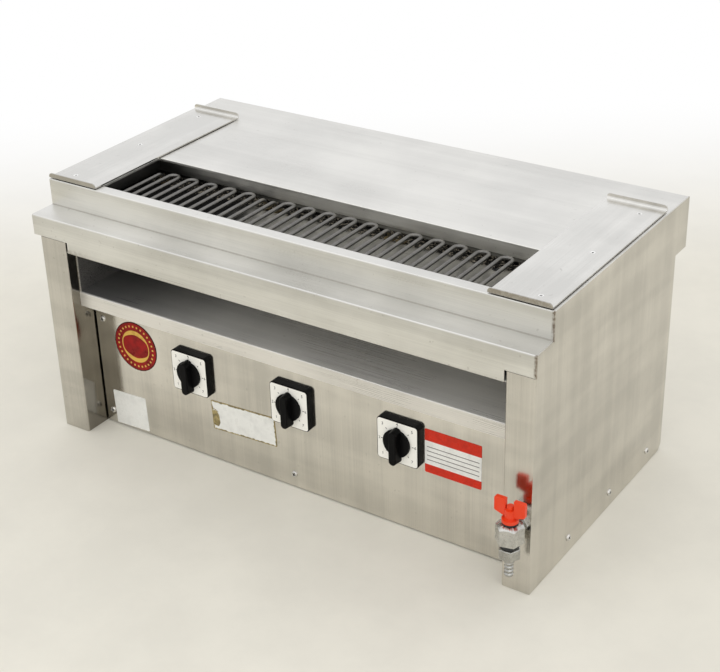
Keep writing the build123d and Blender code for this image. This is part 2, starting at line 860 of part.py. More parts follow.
# Switches: frame and legend plate in front of the panel, body behind it, shaft and knob turning in them.
plate_face = panel_front - frame_depth
for side, x in zip(sides, switch_xs):
    with BuildPart() as switch_frame:
        with BuildSketch(Plane.XZ.offset(-panel_front)):
            with Locations((x, switch_height)):
                RectangleRounded(frame_size, frame_size, frame_round)
        extrude(amount=frame_depth)
        fillet(switch_frame.faces().sort_by(Axis.Y)[0].outer_wire().edges(), radius=frame_edge)
        with BuildSketch(Plane.XZ.offset(-plate_face)):
            with Locations((x, switch_height)):
                RectangleRounded(legend_size + 2 * fit_gap, legend_size + 2 * fit_gap, legend_round)
        extrude(amount=-legend_depth, mode=Mode.SUBTRACT)
        rod(neck_radius, (x, panel_front, switch_height), (x, panel_back, switch_height))
        rod(
            shaft_radius + running_gap,
            (x, plate_face - overrun, switch_height),
            (x, panel_back + overrun, switch_height),
            Mode.SUBTRACT,
        )
    switch_frame.part.label = "switch_frame_" + side
    export_step(switch_frame.part, "parts/switch_frame_" + side + ".step")

    with BuildPart() as legend_plate:
        with BuildSketch(Plane.XZ.offset(-plate_face - legend_depth)):
            with Locations((x, switch_height)):
                RectangleRounded(legend_size, legend_size, legend_round)
                Circle(legend_hole, mode=Mode.SUBTRACT)
        extrude(amount=legend_depth)
    legend_plate.part.label = "legend_plate_" + side
    export_step(legend_plate.part, "parts/legend_plate_" + side + ".step")

    with BuildPart() as switch_body:
        with BuildSketch(Plane.XZ.offset(-panel_back)):
            with Locations((x, switch_height)):
                RectangleRounded(switch_body_size, switch_body_size, switch_body_round)
                Circle(shaft_radius + running_gap, mode=Mode.SUBTRACT)
        extrude(amount=-switch_body_depth)
    switch_body.part.label = "switch_body_" + side
    export_step(switch_body.part, "parts/switch_body_" + side + ".step")

    knob_back = plate_face - knob_gap
    knob_front = plate_face - knob_height
    bore_end = knob_back - knob_bore_depth
    with BuildPart() as knob:
        rod(knob_radius, (x, knob_back, switch_height), (x, plate_face - knob_disc, switch_height))
        with BuildSketch(Plane.XZ.offset(-knob_back)):
            with Locations((x, switch_height + (grip_up - grip_down) / 2)):
                SlotOverall(grip_up + grip_down, grip_width, rotation=90)
        extrude(amount=knob_back - knob_front, taper=grip_taper)
        fillet(knob.faces().sort_by(Axis.Y)[0].outer_wire().edges(), radius=knob_edge)
        rod(shaft_radius, (x, bore_end, switch_height), (x, knob_back, switch_height), Mode.SUBTRACT)
    knob.part.label = "knob_" + side
    export_step(knob.part, "parts/knob_" + side + ".step")

    with BuildPart() as switch_shaft:
        rod(shaft_radius, (x, bore_end, switch_height), (x, panel_back + shaft_depth, switch_height))
    switch_shaft.part.label = "switch_shaft_" + side
    export_step(switch_shaft.part, "parts/switch_shaft_" + side + ".step")

# Cock body: a hex with a low dome, the ball's chamber, the stem's bore and the inlet through the post.
ball_chamber = ball_radius + ball_gap
hex_foot = inlet_height - inlet_rise
hex_top = hex_foot + hex_height
dome_top = hex_top + hex_dome
with BuildPart() as valve_body:
    with BuildSketch(Plane.XY.offset(hex_foot)):
        with Locations((valve_x, valve_y)):
            RegularPolygon(hex_flat / 2, 6, major_radius=False, rotation=hex_turn)
    extrude(amount=hex_height + hex_dome)
    with BuildSketch(Plane(origin=(valve_x, valve_y, 0), x_dir=(1, 0, 0), z_dir=(0, -1, 0))):
        with BuildLine():
            Polyline(
                (0, hex_foot),
                (hex_flat, hex_foot),
                (hex_flat, hex_top - hex_crown),
                (hex_flat / 2, hex_top),
                (hex_dome_radius, dome_top),
                (0, dome_top),
                close=True,
            )
        make_face()
    revolve(axis=Axis((valve_x, valve_y, 0), (0, 0, 1)), mode=Mode.INTERSECT)
    rod(inlet_radius, (valve_x, valve_y, inlet_height), (valve_x, inlet_end, inlet_height))
    with Locations((valve_x, valve_y, inlet_height)):
        Sphere(ball_chamber, mode=Mode.SUBTRACT)
    rod(ball_chamber, (valve_x, valve_y, hex_foot), (valve_x, valve_y, inlet_height), Mode.SUBTRACT)
    rod(inlet_bore, (valve_x, valve_y, inlet_height), (valve_x, inlet_end, inlet_height), Mode.SUBTRACT)
    rod(
        stem_radius + running_gap,
        (valve_x, valve_y, inlet_height),
        (valve_x, valve_y, dome_top + overrun),
        Mode.SUBTRACT,
    )
valve_body.part.label = "valve_body"
export_step(valve_body.part, "parts/valve_body.step")

# Locknuts that clamp the inlet to the post, one on each side of the sheet.
with BuildPart() as valve_locknuts:
    for nut_front in (front - locknut_height, front + sheet):
        with BuildSketch(Plane.XZ.offset(-nut_front)):
            with Locations((valve_x, inlet_height)):
                RegularPolygon(locknut_flat / 2, 6, major_radius=False)
                Circle(inlet_radius + running_gap, mode=Mode.SUBTRACT)
        extrude(amount=-locknut_height)
valve_locknuts.part.label = "valve_locknuts"
export_step(valve_locknuts.part, "parts/valve_locknuts.step")

# Ball with an angled port: down to the outlet, and to one side, across the inlet while the cock is shut.
stem_foot = inlet_height + ball_radius - stem_slot
with BuildPart() as valve_ball:
    with Locations((valve_x, valve_y, inlet_height)):
        Sphere(ball_radius)
    rod(
        inlet_bore,
        (valve_x, valve_y, inlet_height - ball_radius),
        (valve_x, valve_y, inlet_height),
        Mode.SUBTRACT,
    )
    rod(
        inlet_bore,
        (valve_x, valve_y, inlet_height),
        (valve_x + ball_radius, valve_y, inlet_height),
        Mode.SUBTRACT,
    )
    rod(
        stem_radius,
        (valve_x, valve_y, stem_foot),
        (valve_x, valve_y, stem_foot + ball_radius),
        Mode.SUBTRACT,
    )
valve_ball.part.label = "valve_ball"
export_step(valve_ball.part, "parts/valve_ball.step")

# Stem from the ball up into the handle's hub.
handle_foot = dome_top + seal_height + seal_gap
with BuildPart() as valve_stem:
    rod(
        stem_radius,
        (valve_x, valve_y, stem_foot),
        (valve_x, valve_y, handle_foot + hub_height - hub_nub_height),
    )
valve_stem.part.label = "valve_stem"
export_step(valve_stem.part, "parts/valve_stem.step")

# Seal ring on the body, below the handle.
with BuildPart() as stem_seal:
    rod(seal_radius, (valve_x, valve_y, dome_top), (valve_x, valve_y, dome_top + seal_height))
    rod(
        stem_radius + running_gap,
        (valve_x, valve_y, dome_top),
        (valve_x, valve_y, dome_top + seal_height),
        Mode.SUBTRACT,
    )
stem_seal.part.label = "stem_seal"
export_step(stem_seal.part, "parts/stem_seal.step")

# Butterfly handle: a hub with two wings, across the inlet while the cock is shut.
with BuildPart() as valve_handle:
    for way in (-1, 1):
        wing_inner = valve_x + way * (handle_span / 2 - wing_width)
        wing_outer = valve_x + way * handle_span / 2
        with BuildSketch(Plane.XZ.offset(-valve_y)):
            with BuildLine():
                Polyline(
                    (wing_inner, handle_foot + wing_root),
                    (wing_outer, handle_foot + wing_low),
                    (wing_outer, handle_foot + wing_top),
                    (wing_inner, handle_foot + wing_top),
                    close=True,
                )
            wing = make_face()
            fillet(wing.vertices().sort_by(Axis.Z)[-3:], radius=wing_round)
        extrude(amount=wing_thickness / 2, both=True)
    fillet(valve_handle.faces().filter_by(Axis.Y).edges(), radius=wing_edge)
    rod(
        hub_flange_radius,
        (valve_x, valve_y, handle_foot),
        (valve_x, valve_y, handle_foot + hub_flange_height),
    )
    rod(hub_radius, (valve_x, valve_y, handle_foot), (valve_x, valve_y, handle_foot + hub_height))
    rod(
        hub_nub_radius,
        (valve_x, valve_y, handle_foot + hub_height),
        (valve_x, valve_y, handle_foot + hub_height + hub_nub_height),
    )
    rod(
        stem_radius,
        (valve_x, valve_y, handle_foot),
        (valve_x, valve_y, handle_foot + hub_height - hub_nub_height),
        Mode.SUBTRACT,
    )
valve_handle.part.label = "valve_handle"
export_step(valve_handle.part, "parts/valve_handle.step")

# Ring between the body and the outlet nut.
gasket_foot = hex_foot - gasket_height
with BuildPart() as valve_gasket:
    rod(gasket_radius, (valve_x, valve_y, gasket_foot), (valve_x, valve_y, hex_foot))
    rod(ball_chamber, (valve_x, valve_y, gasket_foot), (valve_x, valve_y, hex_foot), Mode.SUBTRACT)
valve_gasket.part.label = "valve_gasket"
export_step(valve_gasket.part, "parts/valve_gasket.step")

# Outlet nut, with a neck that holds the ball in its chamber.
outlet_foot = gasket_foot - outlet_height
with BuildPart() as outlet_nut:
    with BuildSketch(Plane.XY.offset(outlet_foot)):
        with Locations((valve_x, valve_y)):
            RegularPolygon(outlet_flat / 2, 6, major_radius=False)
    extrude(amount=outlet_height)
    chamfer(outlet_nut.faces().filter_by(Axis.Z).edges(), length=outlet_chamfer)
    neck_top = gasket_foot + outlet_neck
    rod(ball_chamber - running_gap, (valve_x, valve_y, gasket_foot), (valve_x, valve_y, neck_top))
    rod(barb_bore, (valve_x, valve_y, outlet_foot), (valve_x, valve_y, neck_top), Mode.SUBTRACT)
outlet_nut.part.label = "outlet_nut"
export_step(outlet_nut.part, "parts/outlet_nut.step")

# Hose barb: a plain collar and a row of ribs that taper downwards.
rib_pitch = (barb_length - barb_shoulder) / barb_ribs
with BuildPart() as hose_barb:
    with BuildSketch(Plane(origin=(valve_x, valve_y, outlet_foot), x_dir=(1, 0, 0), z_dir=(0, -1, 0))):
        with BuildLine():
            outline = [(barb_bore, 0), (barb_collar, 0), (barb_collar, -barb_shoulder)]
            for rib in range(barb_ribs):
                rib_top = -barb_shoulder - rib_pitch * rib
                outline += [(barb_radius, rib_top), (barb_rib, rib_top - rib_pitch / 3)]
            outline += [(barb_radius, -barb_length), (barb_bore, -barb_length)]
            Polyline(*outline, close=True)
        make_face()
    revolve(axis=Axis((valve_x, valve_y, 0), (0, 0, 1)))
hose_barb.part.label = "hose_barb"
export_step(hose_barb.part, "parts/hose_barb.step")

# Cable gland in the rear panel.
with BuildPart() as cable_gland:
    rod(gland_radius, (gland_x, rear, gland_height), (gland_x, rear + gland_length, gland_height))
    fillet(cable_gland.faces().sort_by(Axis.Y)[-1].edges(), radius=gland_dome)
    rod(gland_thread, (gland_x, rear - gland_thread_length, gland_height), (gland_x, rear, gland_height))
    rod(
        gland_bore,
        (gland_x, rear - gland_thread_length, gland_height),
        (gland_x, rear + gland_length, gland_height),
        Mode.SUBTRACT,
    )
cable_gland.part.label = "cable_gland"
export_step(cable_gland.part, "parts/cable_gland.step")

# Nut of the gland, inside the rear panel.
with BuildPart() as gland_nut:
    with BuildSketch(Plane.XZ.offset(-rear_inner)):
        with Locations((gland_x, gland_height)):
            RegularPolygon(gland_nut_flat / 2, 6, major_radius=False)
            Circle(gland_thread + running_gap, mode=Mode.SUBTRACT)
    extrude(amount=gland_nut_height)
gland_nut.part.label = "gland_nut"
export_step(gland_nut.part, "parts/gland_nut.step")

# Terminal block on the base plate, in front of the gland.
with BuildPart() as terminal_block:
    block_left = gland_x - block_length / 2
    block_front = rear - block_rear
    block_back = block_front + block_depth
    block_top = sheet + block_height
    slab(block_left, block_left + block_length, block_front, block_back, sheet, block_top)
    slot_pitch = block_length / block_slots
    for slot in range(block_slots):
        slot_left = block_left + slot_pitch * slot + (slot_pitch - block_slot_width) / 2
        slab(
            slot_left,
            slot_left + block_slot_width,
            block_front,
            block_back,
            block_top - block_slot_depth,
            block_top,
            Mode.SUBTRACT,
        )
terminal_block.part.label = "terminal_block"
export_step(terminal_block.part, "parts/terminal_block.step")

# Labels on the control panel.
with BuildPart() as round_badge:
    rod(badge_radius, (badge_x, panel_front, badge_z), (badge_x, panel_front - label_thickness, badge_z))
round_badge.part.label = "round_badge"
export_step(round_badge.part, "parts/round_badge.step")

with BuildPart() as square_label:
    with BuildSketch(Plane.XZ.offset(-panel_front)):
        with Locations((square_label_x, square_label_z)):
            RectangleRounded(square_label_width, square_label_height, label_round, rotation=square_label_tilt)
    extrude(amount=label_thickness)
square_label.part.label = "square_label"
export_step(square_label.part, "parts/square_label.step")

with BuildPart() as long_label:
    with BuildSketch(Plane.XZ.offset(-panel_front)):
        with Locations((long_label_x, long_label_z)):
            RectangleRounded(long_label_width, long_label_height, label_round, rotation=long_label_tilt)
    extrude(amount=label_thickness)
long_label.part.label = "long_label"
export_step(long_label.part, "parts/long_label.step")

with BuildPart() as banded_plate:
    with BuildSketch(Plane.XZ.offset(-panel_front)):
        with Locations((banded_plate_x, banded_plate_z)):
            RectangleRounded(banded_plate_width, banded_plate_height, label_round)
    extrude(amount=label_thickness)
banded_plate.part.label = "banded_plate"
export_step(banded_plate.part, "parts/banded_plate.step")

# Screws of the control panel, the side panels and the rear panel.
with BuildPart() as control_panel_screws:
    for x, z in panel_screws:
        round_head((x, panel_front, z), (0, 1, 0), panel_shank)
    fillet(control_panel_screws.faces().group_by(Axis.Y)[0].edges(), radius=head_crown)
control_panel_screws.part.label = "control_panel_screws"
export_step(control_panel_screws.part, "parts/control_panel_screws.step")

with BuildPart() as side_panel_screws:
    for y in side_rows:
        round_head((left_face, y, side_screw_height), (1, 0, 0), shank_length)
        round_head((right_end, y, side_screw_height), (-1, 0, 0), shank_length)
    head_faces = side_panel_screws.faces().group_by(Axis.X)
    fillet(head_faces[0].edges() + head_faces[-1].edges(), radius=head_crown)
side_panel_screws.part.label = "side_panel_screws"
export_step(side_panel_screws.part, "parts/side_panel_screws.step")

with BuildPart() as rear_panel_screws:
    for x, z in rear_screws:
        round_head((x, rear, z), (0, -1, 0), shank_length)
    fillet(rear_panel_screws.faces().group_by(Axis.Y)[-1].edges(), radius=head_crown)
rear_panel_screws.part.label = "rear_panel_screws"
export_step(rear_panel_screws.part, "parts/rear_panel_screws.step")
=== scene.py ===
"""Dresses the packed yakitori grill: finishes, screw heads, dial marks, labels and a stage.

Lengths are in metres, in the frame of the packed model: X to the right, Y to the back and Z up.
"""

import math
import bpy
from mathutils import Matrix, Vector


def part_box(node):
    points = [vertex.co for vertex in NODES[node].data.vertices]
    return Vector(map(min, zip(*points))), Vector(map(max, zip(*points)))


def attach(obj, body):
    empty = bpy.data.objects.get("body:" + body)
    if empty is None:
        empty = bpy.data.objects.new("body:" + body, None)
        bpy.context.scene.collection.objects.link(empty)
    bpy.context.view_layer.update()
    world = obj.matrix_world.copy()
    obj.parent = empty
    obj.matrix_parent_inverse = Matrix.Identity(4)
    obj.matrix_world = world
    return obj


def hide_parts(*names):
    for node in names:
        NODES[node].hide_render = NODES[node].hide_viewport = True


bl_info = {
    "name": "Yakitori Grill Finishes",
    "version": (1, 0, 0),
    "blender": (4, 5, 0),
    "location": "3D View > Sidebar > Grill",
    "description": "Finishes, screw heads, dial marks, labels and a stage for the packed grill",
    "category": "Object",
}

from collections import namedtuple

import bmesh
import bpy
from bpy.props import FloatProperty, FloatVectorProperty, IntProperty, PointerProperty
from mathutils import Matrix, Vector

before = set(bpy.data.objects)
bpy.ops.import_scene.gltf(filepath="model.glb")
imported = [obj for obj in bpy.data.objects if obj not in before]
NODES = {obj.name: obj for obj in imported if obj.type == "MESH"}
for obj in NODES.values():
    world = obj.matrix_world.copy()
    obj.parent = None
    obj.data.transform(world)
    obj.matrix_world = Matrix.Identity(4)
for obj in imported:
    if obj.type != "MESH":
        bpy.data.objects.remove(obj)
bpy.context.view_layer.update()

SIDES = ("left", "middle", "right")
HOUSING = "housing"

# Most of a noise's values lie between these two.
NOISE_LOW, NOISE_HIGH = 0.3, 0.7

# Depth of the relief on a fine, a plain and a coarse surface.
FINE, PLAIN, COARSE = 0.00001, 0.00002, 0.00003

# Streaks to the metre along X, Y and Z for each run of the grain, and the share of that count
# at which the soft bands come.
ALONG_X, ALONG_Y, STANDING = (5.0, 900.0, 900.0), (900.0, 5.0, 900.0), (900.0, 900.0, 5.0)
BAND_SHARE = 0.04

# Wipe marks to the metre along three axes, and the turn of these axes.
WIPES = ((4.0, 9.0, 26.0), (0.65, 0.35, 0.2))
SLANTING_WIPES = ((4.0, 2.5, 24.0), (0.3, 0.0, 0.0))

# Colours of small or hidden things.
SPECKS, CERAMIC = (0.2, 0.18, 0.15), (0.84, 0.82, 0.76)
BRASS, TARNISH = (0.34, 0.26, 0.13), (0.02, 0.017, 0.014)
SWITCH_BODY, SHAFT = (0.045, 0.045, 0.047), (0.60, 0.60, 0.60)
SCREW_STAIN, COCK_STAIN, OUTLET_STAIN = (0.20, 0.18, 0.15), (0.26, 0.24, 0.20), (0.20, 0.19, 0.16)

# Edges flatter than this are shaded smooth.
SMOOTH_ANGLE = math.radians(38.0)

# Points of a CAD mesh that are this close lie on one plane, and a fold or a sheet takes up this.
CLOSE, FOLD = 0.0001, 0.002

# The weld seam: its length below the ledge, the share by which it swells, and its wave's turn.
SEAM_DROP, RIPPLE, RIPPLE_TURN = 0.032, 0.15, 2.4

# A screw: the height of a raised head, the radius of the shank, the radii of the head's rings
# and the curve of its crown, the turn of a row's first screw and the further turn of each next.
HEAD_HEIGHT, SHANK_RADIUS = 0.0024, 0.002
RING_SHARES = [0.07 * i for i in range(1, 13)] + [0.9, 0.95, 0.98, 1.0]
CROWN_POWER = 3.2
FIRST_TURN, NEXT_TURN = 0.5, 1.1

# A cross recess: where its sides start, the slopes of its sides and ends, how much shallower
# its arms' ends are, and the depth from which it is painted dark with grime and painted shade.
SIDE_START, SIDE_RUN, END_RUN, ARM_RISE, GRIME_AND_SHADE_DEPTH = 1.3, 0.6, 0.22, 0.55, 0.25

# A number's font size, as a multiple of its height.
FONT_SIZE = 1.4

# The badge, in shares of its radius: the ring of dots and their reach, the crescents' outer edge
# and their inner one at the sides and the top, the start of the dark edge, and the print's blur.
DOT_RING, DOT_REACH = 0.82, 0.065
CRESCENT_OUTER, CRESCENT_SIDE, CRESCENT_TOP = 0.64, 0.60, 0.47
BADGE_EDGE, PRINT_BLUR = 0.955, 0.02

# The long label on the panel, and the constants of label film.
LONG_TILT, LONG_WIDTH, LONG_HEIGHT = math.radians(2.6), 0.118, 0.049
FILM = {"Metallic": 0.0, "Coat Weight": 0.15, "Coat Roughness": 0.12}

# The banded plate, in shares of its height: its rules, their reach and the bands' blur.
RULES, RULE_REACH, BAND_BLUR = (0.30, 0.40, 0.50, 0.60), 0.016, 0.004

# The gland's ribs: the depth of their feet in the cap, and where along it they start and end.
RIB_ROOT, RIB_START, RIB_END = 0.0004, 0.006, 0.0048

# Each lamp's place and the length of its sides, the point that both face, and the floor's depth.
LAMPS = {"key": ((0.0, -0.7, 2.9), 5.2), "fill": ((2.6, -2.4, 2.0), 3.2)}
LIT_PLACE, FLOOR_DROP = (0.0, 0.0, 0.2), 0.0004

# A stain on sheet: its colour and strength, whether its edge is ragged, and the spans that it
# keeps to, each of an axis, a low end, a high end and the length of its fade outside them.
Stain = namedtuple("Stain", "colour strength ragged spans")


def value_of(kind, prefix="", **settings):
    """A call that makes a property of one kind, which a user may change."""
    def call(name, default, description):
        return kind(name=name, description=prefix + description, default=default, **settings)

    return call


colour_value = value_of(FloatVectorProperty, "Colour of ", min=0.0, max=1.0, subtype="COLOR")
place_value = value_of(FloatVectorProperty, "Place of ", subtype="XYZ")
length_value = value_of(FloatProperty, unit="LENGTH", precision=5)
angle_value = value_of(FloatProperty, unit="ROTATION")
power_value = value_of(FloatProperty, "Power of ", unit="POWER")
share_value = value_of(FloatProperty, min=0.0, max=1.0, subtype="FACTOR")
number_value = value_of(FloatProperty)
count_value = value_of(IntProperty, "Count of ", min=3)


class GrillSteelSettings(bpy.types.PropertyGroup):
    """Finishes of the folded sheets, the pan and the heaters."""

    # The level sheet's colour is lighter than the upright, riser and panel colours that upright
    # faces take: painted light from above, painted shade on the upright faces.
    sheet_colour: colour_value("Sheet", (0.74, 0.733, 0.71), "the level sheet, wiped often")
    upright_colour: colour_value("Upright sheet", (0.63, 0.605, 0.553), "the upright sheet")
    riser_colour: colour_value("Riser", (0.70, 0.69, 0.645), "the top's riser, flange and apron")
    panel_colour: colour_value("Panel", (0.70, 0.675, 0.62), "the control panel")
    sheet_roughness: share_value("Sheet roughness", 0.18, "Roughness of the clean sheet")
    mill_colour: colour_value("Mill sheet", (0.58, 0.58, 0.57), "the plain inner sheets")
    # Painted shade inside the slot: the shelf darkens to this colour at its left end.
    slot_colour: colour_value("Slot", (0.05, 0.05, 0.055), "the shelf at its dark left end")
    # Painted shade on the inner return of the left post.
    return_colour: colour_value("Return", (0.15, 0.135, 0.11), "the film on the left post's return")
    # Painted highlight along the skewer plates' rear folds.
    worn_colour: colour_value("Worn fold", (0.95, 0.945, 0.93), "a fold that is rubbed bright")
    pan_colour: colour_value("Pan", (0.29, 0.28, 0.25), "the water pan")
    # Soot, and painted shadow along the back of the pan.
    soot_colour: colour_value("Soot", (0.007, 0.0065, 0.006), "burnt drippings in the pan")
    crumb_colour: colour_value("Crumbs", (0.50, 0.45, 0.36), "the pale crumbs in the soot")
    soot_end: length_value("Soot end", -0.13, "Place along X where the soot ends")
    # Sets where the pan's painted shadow along the back starts.
    soot_band: length_value("Soot band", 0.0105, "Reach of the soot before the rear bends")
    tint_colour: colour_value("Heat tint", (0.13, 0.085, 0.045), "steel beside a weld")
    # Painted shade in the ledge's fold, and grime along the skewer plates' front edges.
    grime_colour: colour_value("Fold grime", (0.22, 0.20, 0.16), "the grime in folds and on lips")
    sheath_colour: colour_value("Heater", (0.18, 0.176, 0.168), "the heater sheath")
    ash_colour: colour_value("Ash", (0.36, 0.33, 0.27), "the pale film on the heaters")
    edge_softness: length_value("Edge softness", 0.0005, "Width of the sheets' rounded edges")
    seam_radius: length_value("Seam radius", 0.0007, "Radius of the weld seam")
    seam_step: length_value("Seam step", 0.003, "Distance between two ripples of the weld seam")


class GrillScrewSettings(bpy.types.PropertyGroup):
    """Heads of the screws."""

    screw_colour: colour_value("Screw", (0.70, 0.69, 0.66), "the screws")
    # Painted highlight: the plate screws are brighter than the plates round them.
    bright_colour: colour_value("Plate screw", (0.95, 0.94, 0.92), "the worn, bright plate screws")
    # The recesses are painted dark: grime, with painted shade.
    grime_colour: colour_value("Grime", (0.03, 0.028, 0.025), "the grime in the recesses")
    recess_reach: share_value("Recess reach", 0.62, "Share of the head that the cross reaches")
    recess_width: share_value("Recess width", 0.15, "Half width of the cross, in head radii")
    recess_depth: share_value("Recess depth", 0.34, "Depth of the cross, in head radii")
    spokes: count_value("Spokes", 56, "divisions round a screw head")


class GrillSwitchSettings(bpy.types.PropertyGroup):
    """Dial plates, marks and knobs of the rotary switches."""

    plate_colour: colour_value("Plate", (0.97, 0.955, 0.89), "the dial plates")
    ink_colour: colour_value("Marks", (0.02, 0.02, 0.022), "the ticks and numbers")
    black_colour: colour_value("Black", (0.003, 0.003, 0.0032), "the frames and knobs")
    steps: count_value("Steps", 8, "switch positions round the dial")
    tick_start: length_value("Tick start", 0.0236, "Distance of a tick from the shaft")
    tick_length: length_value("Tick length", 0.0026, "Length of a tick")
    tick_width: length_value("Tick width", 0.0011, "Width of a tick")
    number_reach: length_value("Number reach", 0.0288, "Distance of a number beside an edge")
    corner_reach: length_value("Corner reach", 0.0335, "Distance of a number in a corner")
    number_height: length_value("Number height", 0.0046, "Height of the numbers")
    mark_depth: length_value("Mark depth", 0.00012, "Thickness of the printed marks")


class GrillCockSettings(bpy.types.PropertyGroup):
    """Finishes of the drain cock."""

    handle_colour: colour_value("Handle", (0.80, 0.05, 0.008), "the butterfly handle")
    plating_colour: colour_value("Plating", (0.56, 0.555, 0.53), "the plated fittings")
    outlet_colour: colour_value("Outlet", (0.46, 0.455, 0.43), "the duller nut and hose barb")
    seal_colour: colour_value("Seals", (0.018, 0.018, 0.018), "the seals")
    corner_softness: length_value("Softness", 0.0005, "Width of the hexagons' rounded corners")


class GrillLabelSettings(bpy.types.PropertyGroup):
    """Plain labels on the control panel."""

    badge_colour: colour_value("Badge", (0.25, 0.008, 0.007), "the round badge's ground")
    badge_print: colour_value("Badge print", (0.78, 0.50, 0.10), "the badge's crescents and dots")
    badge_dots: count_value("Badge dots", 28, "dots round the badge")
    film_colour: colour_value("Film", (0.86, 0.86, 0.82), "the bare labels")
    glue_colour: colour_value("Old glue", (0.27, 0.21, 0.08), "the glue round the long label")
    band_colour: colour_value("Bands", (0.68, 0.032, 0.012), "the plate's two bands")
    rule_colour: colour_value("Rules", (0.12, 0.11, 0.11), "the plate's plain rules")
    upper_band: share_value("Upper band", 0.265, "Share of the plate below its top edge")
    lower_band: share_value("Lower band", 0.195, "Share of the plate above its foot")


class GrillSupplySettings(bpy.types.PropertyGroup):
    """Cable gland and terminal block."""

    moulding_colour: colour_value("Mouldings", (0.04, 0.04, 0.042), "the gland and the block")
    grip_ribs: count_value("Grip ribs", 18, "ribs round the gland's cap")
    rib_height: length_value("Rib height", 0.0009, "Height of a rib above the cap")
    rib_width: length_value("Rib width", 0.0022, "Width of a rib at its foot")


class GrillStageSettings(bpy.types.PropertyGroup):
    """Floor, light and camera."""

    floor_colour: colour_value("Floor", (0.80, 0.77, 0.682), "the floor")
    floor_size: length_value("Floor size", 16.0, "Length of the floor's sides")
    fade_start: length_value("Fade start", 0.45, "Distance behind, where the floor starts to fade")
    fade_end: length_value("Fade end", 1.5, "Distance behind, where the floor is white")
    far_start: length_value("Far start", 2.0, "Distance round, where the floor starts to fade")
    far_end: length_value("Far end", 4.5, "Distance round, where the floor is white")
    sky_strength: number_value("Sky", 0.86, "Strength of the pale surroundings as light")
    key_power: power_value("Key", 24.0, "the lamp above")
    fill_power: power_value("Fill", 14.0, "the lamp beside the camera")
    camera_place: place_value("Camera", (1.1385, -1.6304, 1.2438), "the camera")
    camera_azimuth: angle_value("Azimuth", math.radians(34.485), "Turn round the grill")
    camera_elevation: angle_value("Elevation", math.radians(28.304), "Tilt of the camera")
    camera_roll: angle_value("Roll", math.radians(-1.686), "Roll of the camera")
    lens: number_value("Lens", 75.3, "Focal length of the camera in millimetres")
    sensor: number_value("Sensor", 36.0, "Width of the camera's sensor in millimetres")


def sum_by(operation):
    """A call that puts one value or two through one of the sums."""
    def call(self, first, second=0.0):
        return self.node("ShaderNodeMath", {0: first, 1: second}, operation=operation)

    return call


